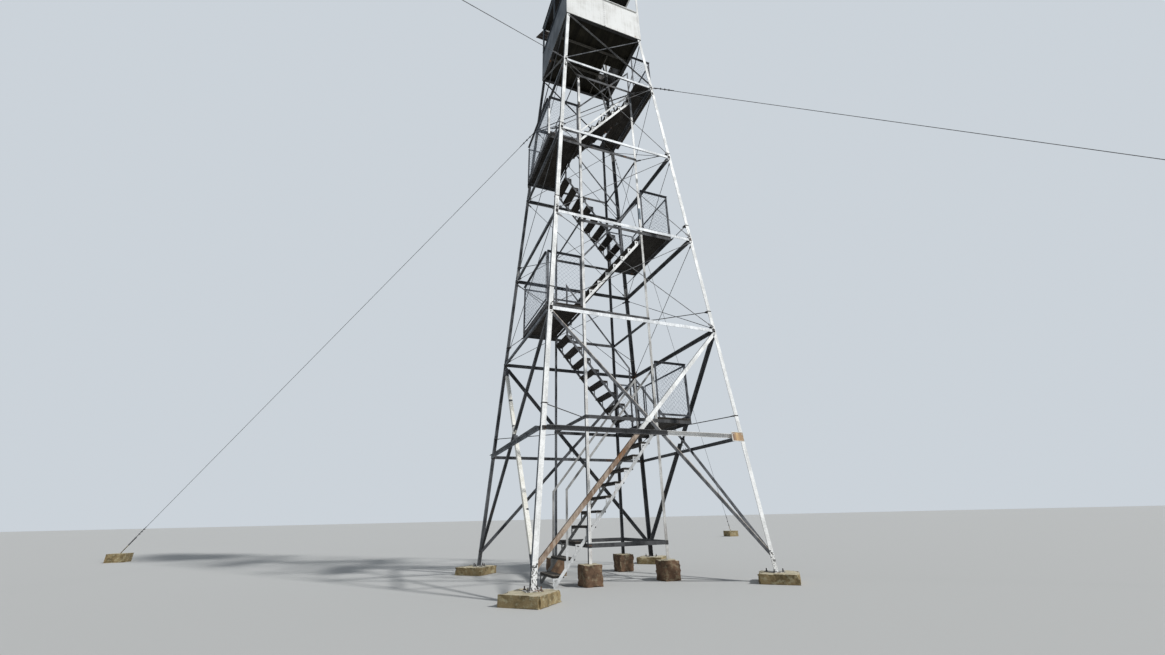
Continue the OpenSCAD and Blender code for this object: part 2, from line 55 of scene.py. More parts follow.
# the tower's own sizes in metres, as in its solids
tower = {
    "footHalf": 1.981, "lean": 0.0728, "pierTop": 0.140,
    "legWidth": 0.076, "legThick": 0.008, "shoeThick": 0.008,
    "strutLevels": [2.217, 4.250, 6.359, 8.679, 11.031],
    "strutWidth": 0.064, "barThick": 0.006,
    "braceFoot": 0.400, "braceGap": 0.064, "braceIn": 0.050, "braceCross": 2.270,
    "postX": 0.7265, "postY": 0.862, "postWidth": 0.051,
    "deckTops": [2.700, 4.768, 6.836, 8.904, 11.101],
    "deckIn": 0.743, "deckOuts": [1.464, 1.464, 1.464, 1.464, 1.303], "deckBoards": 4, "boardThick": 0.038,
    "ringWidth": 0.064, "ringThick": 0.006, "lowRing": 0.600, "topRailY": 0.983,
    "flightRise": 2.068, "flightSteps": 9, "flightTreads": [11, 8, 8, 8, 8],
    "flightNear": 0.110, "flightFar": 0.805, "sideThick": 0.006, "treadThick": 0.038,
    "cabHalf": 1.067, "cabLow": 12.900, "floorTop": 13.040,
    "sill": 13.990, "windowHead": 15.100, "wallTop": 15.210,
    "roofHalf": 1.092, "roofLow": 15.2014, "roofPitch": 0.52326,
}
cornerSigns = ((-1, -1), (1, -1), (1, 1), (-1, 1))
faceTurn = math.atan(tower["lean"])
legInside = tower["legThick"] * math.cos(faceTurn)
stepRise = tower["flightRise"] / tower["flightSteps"]
stepGoing = 2 * tower["deckIn"] / (tower["flightSteps"] - 1)

# foot and head of each panel of braces, a little over and under the struts
braceFeet = [tower["braceFoot"]] + [z + tower["braceGap"] for z in tower["strutLevels"][1:]]
braceHeads = [z - tower["braceGap"] for z in tower["strutLevels"][1:] + [tower["cabLow"]]]


def moved(x, y, z):
    return Matrix.Translation((x, y, z))


def turned(angle, axis):
    return Matrix.Rotation(angle, 4, axis)


def quarterTurn(k):
    return turned(math.pi / 2 * k, "Z")


def halfAt(z):
    return tower["footHalf"] - tower["lean"] * (z - tower["pierTop"])


def upSlope(z):
    return z / math.cos(faceTurn)


def faceFrame(k):
    # X along the outer face, Z up its slope, Y inwards
    return quarterTurn(k) @ moved(0, -halfAt(0), 0) @ turned(-faceTurn, "X")


def wallFrame(k):
    # X along the cab wall, Y inwards from its outer face
    return quarterTurn(k) @ moved(0, -tower["cabHalf"], 0)


def landingSide(i):
    return 1 if i % 2 == 0 else -1


# small makers
faceUp = turned(-math.pi / 2, "X")  # turns a bolt's head upwards


def boxBetween(bm, corner, opposite, place=Matrix()):
    # a box between two opposite corners, given in any order
    low, high = (Vector([pick(pair) for pair in zip(corner, opposite)]) for pick in (min, max))
    spread = Matrix.Diagonal((*(high - low), 1))
    bmesh.ops.create_cube(bm, size=1, matrix=place @ Matrix.Translation((low + high) / 2) @ spread)


def addRod(bm, start, end, radius, sides=8, place=Matrix()):
    start, end = place @ Vector(start), place @ Vector(end)
    turn = (end - start).to_track_quat("Z", "Y").to_matrix().to_4x4()
    bmesh.ops.create_cone(bm, cap_ends=True, segments=sides, radius1=radius, radius2=radius,
                          depth=(end - start).length, matrix=Matrix.Translation((start + end) / 2) @ turn)


def addBolt(bm, place, radius, height):
    # hexagon head standing on the surface, pointing along the place's -Y
    lift = moved(0, -height / 2, 0) @ turned(math.pi / 2, "X")
    bmesh.ops.create_cone(bm, cap_ends=True, segments=6, radius1=radius, radius2=radius * 0.92,
                          depth=height, matrix=place @ lift)


def addRivet(bm, place, radius):
    squash = turned(math.pi / 2, "X") @ Matrix.Diagonal((1, 1, 0.45, 1))
    bmesh.ops.create_icosphere(bm, subdivisions=1, radius=radius, matrix=place @ squash)


def meshFrom(bm, name):
    mesh = bpy.data.meshes.new(name)
    bm.to_mesh(mesh)
    bm.free()
    return mesh


def addObject(name, content):
    made = bpy.data.objects.new(name, content)
    bpy.context.scene.collection.objects.link(made)
    return made


def finishPiece(bm, name, material, bevelWidth=0.0):
    bmesh.ops.recalc_face_normals(bm, faces=bm.faces)
    piece = addObject(name, meshFrom(bm, name))
    piece.data.materials.append(material)
    if bevelWidth:
        edge = piece.modifiers.new("softEdge", "BEVEL")
        edge.width, edge.segments, edge.limit_method = bevelWidth, 2, "ANGLE"
    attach(piece, "root")
    return piece


# shader helpers
def link(value, socket):
    value.id_data.links.new(value, socket)


def isSocket(value):
    return isinstance(value, bpy.types.NodeSocket)


def addNode(tree, kind, inputs=None, **settings):
    made = tree.nodes.new(kind)
    for key, value in settings.items():
        setattr(made, key, value)
    for key, value in (inputs or {}).items():
        if isSocket(value):
            link(value, made.inputs[key])
        else:
            made.inputs[key].default_value = value
    return made


def follow(kind, inputs, **settings):
    # a new node's outputs, in the tree of the sockets that feed it
    tree = next(value.id_data for value in inputs.values() if isSocket(value))
    return addNode(tree, kind, inputs, **settings).outputs


def mixColour(factor, first, second, blend="MIX"):
    return follow("ShaderNodeMix", {0: factor, 6: first, 7: second}, data_type="RGBA", blend_type=blend)[2]


def mathNode(operation, *values):
    return follow("ShaderNodeMath", dict(enumerate(values)), operation=operation)[0]


def plus(first, second):
    return mathNode("ADD", first, second)


def minus(first, second):
    return mathNode("SUBTRACT", first, second)


def times(*shares):
    total = shares[0]
    for share in shares[1:]:
        total = mathNode("MULTIPLY", total, share)
    return total


def larger(first, second):
    return mathNode("MAXIMUM", first, second)


def smaller(first, second):
    return mathNode("MINIMUM", first, second)


def absolute(value):
    return mathNode("ABSOLUTE", value)


def isOver(value, limit):
    return mathNode("GREATER_THAN", value, limit)


def isUnder(value, limit):
    return mathNode("LESS_THAN", value, limit)


def isWithin(value, low, high):
    return times(isOver(value, low), isUnder(value, high))


def ramp(value, low, high, lowTo=0.0, highTo=1.0):
    return follow("ShaderNodeMapRange", {"Value": value, "From Min": low, "From Max": high,
                  "To Min": lowTo, "To Max": highTo}, interpolation_type="SMOOTHSTEP")[0]


def noiseAt(vector, scale, detail=3.0, rough=0.55, distortion=0.0):
    return follow("ShaderNodeTexNoise", {"Vector": vector, "Scale": scale, "Detail": detail,
                  "Roughness": rough, "Distortion": distortion})["Fac"]


def stretched(vector, scale, location=(0, 0, 0)):
    return follow("ShaderNodeMapping", {"Vector": vector, "Scale": scale, "Location": location})[0]


def coordinates(here):
    return follow("ShaderNodeSeparateXYZ", {"Vector": here})


def xOf(here):
    return coordinates(here)[0]


def yOf(here):
    return coordinates(here)[1]


def zOf(here):
    return coordinates(here)[2]


def newGroup(name, inputs, outputs):
    group = bpy.data.node_groups.new(name, "ShaderNodeTree")
    kinds = {"c": "NodeSocketColor", "f": "NodeSocketFloat"}
    for label, kind, value in inputs:
        made = group.interface.new_socket(name=label, in_out="INPUT", socket_type=kinds[kind])
        made.default_value = value
    for label, kind in outputs:
        group.interface.new_socket(name=label, in_out="OUTPUT", socket_type=kinds[kind])
    start, end = group.nodes.new("NodeGroupInput"), group.nodes.new("NodeGroupOutput")
    place = group.nodes.new("ShaderNodeTexCoord").outputs["Object"]
    return group, start.outputs, end.inputs, place


def colour(r, g, b):
    return (r, g, b, 1.0)


# weathered zinc: dull and bright patches, spangle, runs and rust
zincSkin, given, result, here = newGroup("zincSkin", [
    ("Bright", "c", colour(0.78, 0.79, 0.78)), ("Dull", "c", colour(0.45, 0.46, 0.46)),
    ("Rust Colour", "c", colour(0.20, 0.085, 0.035)), ("Rust", "f", 0.2), ("Runs", "f", 0.4)],
    [("Colour", "c"), ("Roughness", "f"), ("Metallic", "f"), ("Height", "f")])
patches = noiseAt(here, 3.4, 5.0, 0.62)
runs = minus(noiseAt(stretched(here, (42, 42, 2.2)), 1.0), 0.5)
spangleColour = follow("ShaderNodeTexVoronoi", {"Vector": here, "Scale": 60.0})["Color"]
spangle = follow("ShaderNodeSeparateColor", {"Color": spangleColour})[0]
dullness = ramp(plus(patches, times(runs, given["Runs"])), 0.36, 0.66)
base = mixColour(dullness, given["Bright"], given["Dull"])
base = mixColour(1.0, base, ramp(spangle, 0.0, 1.0, 0.90, 1.06), "MULTIPLY")
rustNoise = noiseAt(stretched(here, (1, 1, 0.45)), 5.2, 7.0, 0.7)
rustField = plus(rustNoise, times(runs, 0.35))
rustEdge = minus(0.78, times(given["Rust"], 0.42))
rustMask = ramp(minus(rustField, rustEdge), -0.03, 0.10)
rustTone = mixColour(noiseAt(here, 38.0, 4.0), given["Rust Colour"], colour(0.33, 0.17, 0.08))
roughness = plus(ramp(dullness, 0, 1, 0.64, 0.80), times(rustMask, 0.28))
rustGrit = times(rustMask, noiseAt(here, 160.0))
link(mixColour(rustMask, base, rustTone), result["Colour"])
link(smaller(roughness, 1.0), result["Roughness"])
link(ramp(rustMask, 0.0, 0.6, 0.12, 0.0), result["Metallic"])
link(plus(times(spangle, 0.12), rustGrit), result["Height"])

# weathered planks whose grain runs along Y, each board its own tone
plankGrain, given, result, here = newGroup("plankGrain", [
    ("Dark", "c", colour(0.055, 0.042, 0.032)), ("Light", "c", colour(0.24, 0.19, 0.145)),
    ("Grey", "c", colour(0.30, 0.29, 0.27)), ("Board", "f", 0.18), ("Wear", "f", 0.4)],
    [("Colour", "c"), ("Roughness", "f"), ("Height", "f")])
parts = coordinates(here)
boardNumber = mathNode("FLOOR", mathNode("DIVIDE", parts[0], given["Board"]))
boardSeed = plus(boardNumber, times(mathNode("ROUND", parts[2]), 17.0))
boardTone = follow("ShaderNodeTexWhiteNoise", {"W": boardSeed}, noise_dimensions="1D")["Value"]
shift = plus(parts[1], times(boardTone, 9.0))
slide = follow("ShaderNodeCombineXYZ", {0: parts[0], 1: shift, 2: parts[2]})[0]
fibres = noiseAt(stretched(slide, (70, 1.6, 70)), 1.0, 6.0, 0.65, 0.4)
rings = noiseAt(stretched(slide, (16, 0.7, 16)), 1.0, 4.0, 0.6, 1.2)
grain = plus(times(fibres, 0.55), times(rings, 0.45))
tone = mixColour(ramp(grain, 0.34, 0.68), given["Dark"], given["Light"])
worn = times(ramp(noiseAt(here, 4.5, 5.0), 0.42, 0.72), given["Wear"])
tone = mixColour(worn, tone, given["Grey"])
tone = mixColour(1.0, tone, ramp(boardTone, 0.0, 1.0, 0.70, 1.20), "MULTIPLY")
link(tone, result["Colour"])
link(ramp(fibres, 0.2, 0.8, 0.92, 0.72), result["Roughness"])
link(grain, result["Height"])

# old concrete with pits, stains and lichen
oldConcrete, given, result, here = newGroup("oldConcrete", [
    ("Base", "c", colour(0.33, 0.25, 0.13)), ("Stain", "c", colour(0.14, 0.105, 0.050)),
    ("Lichen", "c", colour(0.50, 0.46, 0.30)), ("Growth", "f", 0.5)],
    [("Colour", "c"), ("Roughness", "f"), ("Height", "f")])
cloud = noiseAt(here, 5.0, 6.0, 0.65)
grit = noiseAt(here, 140.0, 3.0, 0.7)
pits = follow("ShaderNodeTexVoronoi", {"Vector": here, "Scale": 55.0})["Distance"]
tone = mixColour(ramp(cloud, 0.40, 0.66), given["Base"], given["Stain"])
growthField = noiseAt(stretched(here, (1, 1, 1.4), (3, 7, 1)), 11.0, 7.0, 0.72)
growth = times(ramp(growthField, 0.52, 0.60), given["Growth"])
tone = mixColour(growth, tone, given["Lichen"])
tone = mixColour(1.0, tone, ramp(grit, 0.2, 0.8, 0.80, 1.15), "MULTIPLY")
relief = plus(times(grit, 0.35), times(cloud, 0.8))
link(tone, result["Colour"])
link(ramp(grit, 0.2, 0.8, 0.96, 0.82), result["Roughness"])
link(plus(times(ramp(pits, 0.0, 0.25), 0.5), relief), result["Height"])

# chalky painted sheet with upright drips, rusty specks and dirt
chalkPaint, given, result, here = newGroup("chalkPaint", [
    ("Paint", "c", colour(0.82, 0.82, 0.79)), ("Dirt", "c", colour(0.47, 0.45, 0.40)),
    ("Rust Colour", "c", colour(0.27, 0.13, 0.06)), ("Rust", "f", 0.3), ("Dirtiness", "f", 0.5)],
    [("Colour", "c"), ("Roughness", "f"), ("Height", "f")])
cloud = noiseAt(here, 2.6, 6.0, 0.6)
drips = noiseAt(stretched(here, (26, 26, 1.1)), 1.0, 4.0, 0.6)
specks = noiseAt(here, 34.0, 5.0, 0.7)
dirtField = plus(times(cloud, 0.6), times(drips, 0.4))
dirtMask = times(ramp(dirtField, 0.44, 0.66), given["Dirtiness"])
rustField = plus(times(specks, 0.5), times(drips, 0.5))
rustMask = times(ramp(rustField, 0.60, 0.68), given["Rust"])
tone = mixColour(dirtMask, given["Paint"], given["Dirt"])
link(mixColour(rustMask, tone, given["Rust Colour"]), result["Colour"])
link(ramp(cloud, 0.3, 0.7, 0.48, 0.70), result["Roughness"])
link(plus(times(specks, 0.3), times(cloud, 0.5)), result["Height"])


def addSkin(tree, group, values):
    skin = tree.nodes.new("ShaderNodeGroup")
    skin.node_tree = group
    for key, value in values.items():
        skin.inputs[key].default_value = value
    return skin


def makeMaterial(name, group, values, bump, bumpDistance=0.002):
    material = bpy.data.materials.new(name)
    material.use_nodes = True
    tree = material.node_tree
    shader = tree.nodes["Principled BSDF"]
    shader.inputs["Specular IOR Level"].default_value = 0.2 if group == plankGrain else 0.3
    skin = addSkin(tree, group, values)
    link(skin.outputs["Colour"], shader.inputs["Base Color"])
    link(skin.outputs["Roughness"], shader.inputs["Roughness"])
    if "Metallic" in skin.outputs:
        link(skin.outputs["Metallic"], shader.inputs["Metallic"])
    relief = addNode(tree, "ShaderNodeBump", {"Height": skin.outputs["Height"], "Strength": bump,
                     "Distance": bumpDistance})
    link(relief.outputs[0], shader.inputs["Normal"])
    return material


def zinc(name, values, bump=0.25):
    return makeMaterial(name, zincSkin, values, bump)


def planks(name, values, bump):
    return makeMaterial(name, plankGrain, values, bump)


def paint(name, values, bump=0.3):
    return makeMaterial(name, chalkPaint, values, bump)


def toneWhere(material, mask, values):
    # changes a skin's tones where the mask is 1
    tree = material.node_tree
    skin = next(n for n in tree.nodes if n.type == "GROUP" and all(key in n.inputs for key in values))
    share = mask(addNode(tree, "ShaderNodeTexCoord").outputs["Object"])
    for key, value in values.items():
        socket = skin.inputs[key]
        if socket.type == "RGBA":
            before = socket.links[0].from_socket if socket.is_linked else tuple(socket.default_value)
            link(mixColour(share, before, value), socket)
        elif socket.is_linked:
            before = socket.links[0].from_socket
            link(mathNode("MULTIPLY_ADD", share, minus(value, before), before), socket)
        else:
            before = socket.default_value
            link(mathNode("MULTIPLY_ADD", share, value - before, before), socket)
    return material


def steelWithPlanks(name, mask, steelValues, plankValues, bump):
    # steel whose planks are where the mask is 1
    material = zinc(name, steelValues, bump)
    tree = material.node_tree
    shader = tree.nodes["Principled BSDF"]
    steel = next(n for n in tree.nodes if n.type == "GROUP")
    boards = addSkin(tree, plankGrain, plankValues)
    share = mask(addNode(tree, "ShaderNodeTexCoord").outputs["Object"])
    rest = minus(1.0, share)
    link(mixColour(share, steel.outputs["Colour"], boards.outputs["Colour"]), shader.inputs["Base Color"])
    for label, target in (("Roughness", shader), ("Height", tree.nodes["Bump"])):
        both = plus(times(steel.outputs[label], rest), times(boards.outputs[label], share))
        link(both, target.inputs[label])
    link(times(steel.outputs["Metallic"], rest), shader.inputs["Metallic"])
    return material


# where a look begins or ends, in metres
marks = {
    "lowStrutsTo": 2.5, "darkStrutTo": 0.42, "blotchesTo": 0.43, "rodsFrom": 4.3,
    "leftPostJoint": (9.95, 10.16), "leftPostShadeFrom": 10.88,
    "barHalf": 0.045, "barEdge": (-0.036, -0.020), "sunlitLeftBar": (0.55, 3.90),
    "brownBar": (0.2, 2.27), "sunlitBar": (2.27, 4.3),
    "sunlitSideBarLow": 1.700, "sunlitSideBarTall": 1.12, "paleRailPost": (-1.42, -0.85, 9.65),
    "spliceSeams": (6.530, 10.810), "seamHalf": 0.003, "stainedSplices": [6.465, 10.810],
    "stainHalf": 0.046, "stainCorner": (0.024, 0.070), "signEdge": (1.570, 1.640),
    "stairBlocksTo": 1.2, "cabFrameEdge": 0.975, "leftFramesTo": -0.98, "rivetSeamTo": 0.04,
    "hemShadowTo": 0.012, "rustyHemTo": -0.012, "rustyHemFrom": 0.1,
}


def below(axis, limit):
    return lambda here: isUnder(coordinates(here)[axis], limit)


def above(axis, limit):
    return lambda here: isOver(coordinates(here)[axis], limit)


def squareReach(here):
    # the larger of the distances from the axis along X and along Y
    return larger(absolute(xOf(here)), absolute(yOf(here)))


def leaned(here, reach):
    # a reach carried down the leaning faces to the ground
    return mathNode("MULTIPLY_ADD", zOf(here), tower["lean"], reach)


def outerSkin(depth, *sides):
    # skin within this depth of the leaning outer planes: 0 front, 1 right, 2 back, 3 left
    def mask(here):
        x, y = xOf(here), yOf(here)
        signed = {0: times(y, -1.0), 1: x, 2: y, 3: times(x, -1.0)}
        reach = signed[sides[0]]
        for side in sides[1:]:
            reach = larger(reach, signed[side])
        return isOver(leaned(here, reach), halfAt(0) - depth)
    return mask


def strutSkin(*sides):
    # the lowest struts lie outside the legs, the others inside
    def mask(here):
        low = isUnder(zOf(here), marks["lowStrutsTo"])
        return plus(times(low, outerSkin(-0.003, *sides)(here)),
                    times(minus(1.0, low), outerSkin(0.011, *sides)(here)))
    return mask


def lowStrutLeft(here):
    # the lowest front strut is dark over its left part
    wavy = mathNode("MULTIPLY_ADD", noiseAt(here, 5.0), 0.3, xOf(here))
    return times(isUnder(zOf(here), marks["lowStrutsTo"]), isUnder(wavy, marks["darkStrutTo"]))


def bandAt(levels, halfHeight):
    # level bands, such as joints
    def mask(here):
        z = zOf(here)
        total = isWithin(z, levels[0] - halfHeight, levels[0] + halfHeight)
        for level in levels[1:]:
            total = plus(total, isWithin(z, level - halfHeight, level + halfHeight))
        return total
    return mask


def footSpecks(here):
    # the legs' feet are blotched in black
    blotch = isOver(noiseAt(stretched(here, (1, 1, 0.45)), 62.0, 3.0, 0.6), 0.54)
    return times(blotch, isUnder(zOf(here), marks["blotchesTo"]))


postSkin = below(1, 0.002 - tower["postY"])


def postSides(here):
    return larger(isOver(absolute(xOf(here)), tower["postX"] - 0.002),
                  isOver(yOf(here), tower["postY"] - 0.002))


def rightPost(low, high):
    # part of the front right post's front skin
    def mask(here):
        return times(postSkin(here), isOver(xOf(here), 0.0), isWithin(zOf(here), low, high))
    return mask


def leftPostJointAndShade(here):
    # dark patches on the front left post: at one joint, and painted shade over its head
    x, y, z = coordinates(here)
    jointAndShade = plus(isWithin(z, *marks["leftPostJoint"]), isOver(z, marks["leftPostShadeFrom"]))
    patchy = isOver(noiseAt(here, 22.0), 0.44)
    return times(isUnder(x, 0.0), isUnder(y, 0.0), jointAndShade, patchy)


def barBand(across, low, high, flip=1):
    # a strip beside a base brace's line from its foot to its head, in one face's two coordinates
    foot, head = (halfAt(z) - tower["braceIn"] for z in (braceFeet[0], braceHeads[0]))
    rise = braceHeads[0] - braceFeet[0]
    run = math.hypot(head + foot, rise)

    def mask(here):
        parts = coordinates(here)
        climbed = times(minus(parts[2], braceFeet[0]), flip * (head + foot) / run)
        gap = minus(climbed, times(plus(parts[across], flip * foot), rise / run))
        return isWithin(gap, low, high)
    return mask


def barPart(across, low, high):
    # the base brace itself, between two heights
    def mask(here):
        return times(barBand(across, -marks["barHalf"], marks["barHalf"])(here),
                     isWithin(zOf(here), low, high))
    return mask


def leftSunlitBar(here):
    # painted sunlight on the left face's brace from the front foot, which lies in shade, with dark ends and a
    # few dark places
    spots = isOver(noiseAt(stretched(here, (0.2, 0.2, 1)), 4.3, 1.0), 0.385)
    return times(barPart(1, *marks["sunlitLeftBar"])(here), spots)


def rodOutside(here):
    return times(outerSkin(0.006, 0, 1, 2, 3)(here), isOver(zOf(here), marks["rodsFrom"]))


def sunlitSideBars(here):
    # painted sunlight on the outer side bar and brackets of the flights that rise to the right, not their
    # handrails
    x, y, z = coordinates(here)
    height = minus(z, times(minus(x, tower["deckIn"]), stepRise / stepGoing))
    cycle = mathNode("FLOORED_MODULO", minus(height, marks["sunlitSideBarLow"]), 2 * tower["flightRise"])
    return times(isUnder(y, -tower["flightFar"] + tower["sideThick"] + 0.0001),
                 isUnder(cycle, marks["sunlitSideBarTall"]))


def brightRailPost(here):
    # the outer front post of the fourth landing's railing shows pale low down
    limits = zip(coordinates(here), marks["paleRailPost"])
    return times(*[isUnder(part, limit) for part, limit in limits])


def treadMask(here):
    # the treads lie between the side bars
    return isWithin(absolute(yOf(here)),
                    tower["flightNear"] + tower["sideThick"] + 0.00005,
                    tower["flightFar"] - tower["sideThick"] - 0.00005)


def underTreads(here):
    # the treads' lower faces and edges, all flights' heights being whole steps apart
    height = minus(zOf(here), tower["deckTops"][0] - 0.040)
    return isUnder(mathNode("FLOORED_MODULO", height, stepRise), 0.037)


def underBoards(top):
    return below(2, top - 0.003)


def boardMask(top):
    return above(2, top - tower["boardThick"] - 0.0005)


def insideCab(here):
    return isUnder(squareReach(here), tower["cabHalf"] - 0.0015)


def underRoof(here):
    # the slopes' inner skin
    inner = tower["roofLow"] + tower["roofPitch"] * tower["roofHalf"] - 0.0023
    reach = squareReach(here)
    return isUnder(mathNode("MULTIPLY_ADD", reach, tower["roofPitch"], zOf(here)), inner)


def frameEdge(here):
    return isOver(squareReach(here), marks["cabFrameEdge"])


def facesUp(here):
    normal = addNode(here.id_data, "ShaderNodeNewGeometry").outputs["Normal"]
    return isOver(zOf(normal), 0.75)


def stairBlocks(here):
    return isUnder(absolute(xOf(here)), marks["stairBlocksTo"])


def jointStains(here):
    # dark blotches on the legs' front skin where the struts are bolted
    corner = minus(halfAt(0), leaned(here, absolute(xOf(here))))
    stained = bandAt(tower["strutLevels"][1:] + marks["stainedSplices"], marks["stainHalf"])
    return times(outerSkin(0.004, 0)(here), isWithin(corner, *marks["stainCorner"]),
                 stained(here), isOver(noiseAt(here, 30.0, 2.0), 0.41))


def signStain(here):
    # soft upright streaks on the bare sign, darkest along its left edge
    streaks = ramp(noiseAt(stretched(here, (1, 0.1, 0.08)), 13.0, 2.0), 0.42, 0.66)
    return larger(times(streaks, 0.60), ramp(xOf(here), *marks["signEdge"], 0.90, 0.0))


def seamRivets(here):
    # rivets in the middle of a wall
    nearest = smaller(absolute(xOf(here)), absolute(yOf(here)))
    return isUnder(nearest, marks["rivetSeamTo"])


def hemRust(here):
    low = minus(zOf(here), times(noiseAt(here, 9.0, 5.0), 0.16))
    return times(isUnder(low, tower["cabLow"] + marks["rustyHemTo"]),
                 isOver(xOf(here), marks["rustyHemFrom"]))


leftOfCab = below(0, -tower["cabHalf"] + 0.0005)
leftFrames = below(0, marks["leftFramesTo"])
# the trims' lowest strip, for a line of painted shadow
hemShadow = below(2, tower["cabLow"] + marks["hemShadowTo"])


# tones of zinc, planks, paint and concrete as values of their skins
def tones(bright, dull, **others):
    return {"Bright": colour(*bright), "Dull": colour(*dull), **others}


def boards(dark, light, grey, **others):
    return {"Dark": colour(*dark), "Light": colour(*light), "Grey": colour(*grey), **others}


def coat(shade, dirt, **others):
    return {"Paint": colour(*shade), "Dirt": colour(*dirt), **others}


def cement(base, stain, **others):
    return {"Base": colour(*base), "Stain": colour(*stain), **others}


# weathered zinc darkened with painted shade: the inner faces and far members, made dark as if in shade
innerWornAndShadedSteel = tones((0.115, 0.120, 0.128), (0.050, 0.053, 0.058), Rust=0.28, Runs=0.5)
# painted sunlight: the bright sunlit copy of the zinc, for front skins and other parts the sun falls on
sunlitSteel = tones((0.92, 0.925, 0.91), (0.74, 0.745, 0.73), Rust=0.14, Runs=0.5)
# painted half shade: a middle tone between the sunlit and shaded copies, for the right and back skins and the
# first flight
halfShadedSteel = tones((0.42, 0.42, 0.41), (0.24, 0.24, 0.235), Rust=0.3)
# painted shade: the dark copy for the left skins and the posts' sides, which lie in shade
paintedShadeSteel = tones((0.20, 0.22, 0.24), (0.10, 0.11, 0.125), Rust=0.25)
rodSteel = tones((0.22, 0.22, 0.22), (0.11, 0.11, 0.11), Rust=0.3)
railSteel = tones((0.10, 0.105, 0.115), (0.045, 0.048, 0.055), Rust=0.20)
guySteel = tones((0.16, 0.16, 0.165), (0.07, 0.07, 0.075), Rust=0.3, Runs=0.2)
blackTone = tones((0.045, 0.042, 0.038), (0.022, 0.020, 0.018))

# legs, struts and braces
# legs: lit and shaded copies by face, with painted shade inside and on the left skin, the middle tone on the
# right and back skins, and painted sunlight on the front skin
legZinc = toneWhere(zinc("legZinc", innerWornAndShadedSteel), outerSkin(0.004, 1, 2), halfShadedSteel)
toneWhere(legZinc, outerSkin(0.004, 3), paintedShadeSteel)
toneWhere(legZinc, outerSkin(0.004, 0), sunlitSteel)
toneWhere(legZinc, bandAt(marks["spliceSeams"], marks["seamHalf"]), blackTone)
toneWhere(legZinc, footSpecks, blackTone)
toneWhere(legZinc, jointStains, blackTone)
shoeZinc = zinc("shoeZinc", tones((0.80, 0.79, 0.74), (0.40, 0.39, 0.36), Rust=0.45, Runs=0.5))
toneWhere(shoeZinc, footSpecks, blackTone)
# struts: painted shade inside, the middle tone on the right and back skins
strutZinc = toneWhere(zinc("strutZinc", innerWornAndShadedSteel), strutSkin(1, 2), halfShadedSteel)
# left struts: painted shade on their outer skin too
leftStrutZinc = toneWhere(zinc("leftStrutZinc", innerWornAndShadedSteel), strutSkin(3), paintedShadeSteel)
# front struts: painted shade inside, painted sunlight on their front skin
frontStrutZinc = toneWhere(zinc("frontStrutZinc", innerWornAndShadedSteel), strutSkin(0),
                           tones((0.85, 0.87, 0.88), (0.66, 0.68, 0.69), Rust=0.13))
# painted light: the lowest front strut, the shaded underside of its flange included, made sunlit white
toneWhere(frontStrutZinc, bandAt(tower["strutLevels"][:1], 0.06),
          tones((0.88, 0.88, 0.87), (0.70, 0.70, 0.69)))
toneWhere(frontStrutZinc, lowStrutLeft, tones((0.15, 0.15, 0.155), (0.075, 0.077, 0.08)))
# braces: painted shade as their base tone, grey rods outside
braceZinc, leftBraceZinc, frontBraceZinc = (
    toneWhere(zinc(name, innerWornAndShadedSteel), rodOutside, rodSteel)
    for name in ("braceZinc", "leftBraceZinc", "frontBraceZinc"))
# painted sunlight: the shaded left brace made bright white as if lit
toneWhere(leftBraceZinc, leftSunlitBar, tones((0.93, 0.92, 0.86), (0.78, 0.76, 0.68), Rust=0.2))
toneWhere(frontBraceZinc, barBand(0, *marks["barEdge"], -1), tones((0.62, 0.60, 0.56), (0.36, 0.31, 0.26)))
# painted sunlight on the upper half of the front base brace
toneWhere(frontBraceZinc, barPart(0, *marks["sunlitBar"]), sunlitSteel)
toneWhere(frontBraceZinc, barPart(0, *marks["brownBar"]), {
    **tones((0.42, 0.34, 0.27), (0.21, 0.14, 0.095), Rust=0.50, Runs=0.4),
    "Rust Colour": colour(0.15, 0.075, 0.04)})

# stair tower, railings and small steel
# posts: painted shade inside and on their sides
postZinc = toneWhere(zinc("postZinc", innerWornAndShadedSteel), postSides, paintedShadeSteel)
# painted sunlight on the posts' front skin
toneWhere(postZinc, postSkin, tones((0.90, 0.90, 0.88), (0.64, 0.63, 0.61), Rust=0.30, Runs=0.6))
# painted shadow over the upper part of the front right post
toneWhere(postZinc, rightPost(10.18, 12.0), tones((0.10, 0.11, 0.12), (0.05, 0.055, 0.06)))
# a bluish band of painted shadow across the front right post
toneWhere(postZinc, rightPost(7.13, 7.43), tones((0.20, 0.25, 0.29), (0.10, 0.13, 0.15)))
# painted half shade: the lower part of the front right post in a grey between sunlit and shaded
toneWhere(postZinc, rightPost(0.0, 6.90), tones((0.62, 0.62, 0.60), (0.38, 0.37, 0.35)))
# a dark joint and painted shade over the head of the front left post
toneWhere(postZinc, leftPostJointAndShade, blackTone)
# painted shade: ring beams and the top flight made near black, as if in shade
shadedRingZinc = zinc("shadedRingZinc", tones((0.085, 0.087, 0.09), (0.040, 0.041, 0.043), Rust=0.30, Runs=0.3))
cabSteel = toneWhere(zinc("cabSteel", tones((0.15, 0.14, 0.125), (0.08, 0.075, 0.065), Rust=0.3)),
                     frameEdge, tones((0.035, 0.035, 0.035), (0.018, 0.018, 0.018)))
railZinc = zinc("railZinc", {**railSteel, "Runs": 0.3}, 0.2)
fourthRailZinc = toneWhere(zinc("fourthRailZinc", railSteel, 0.2), brightRailPost,
                           tones((0.90, 0.90, 0.88), (0.70, 0.70, 0.68)))
tieZinc = zinc("tieZinc", tones((0.12, 0.12, 0.12), (0.06, 0.06, 0.06), Rust=0.3))
meshZinc = zinc("meshZinc", tones((0.30, 0.35, 0.42), (0.17, 0.20, 0.25), Rust=0.15, Runs=0.2), 0.1)
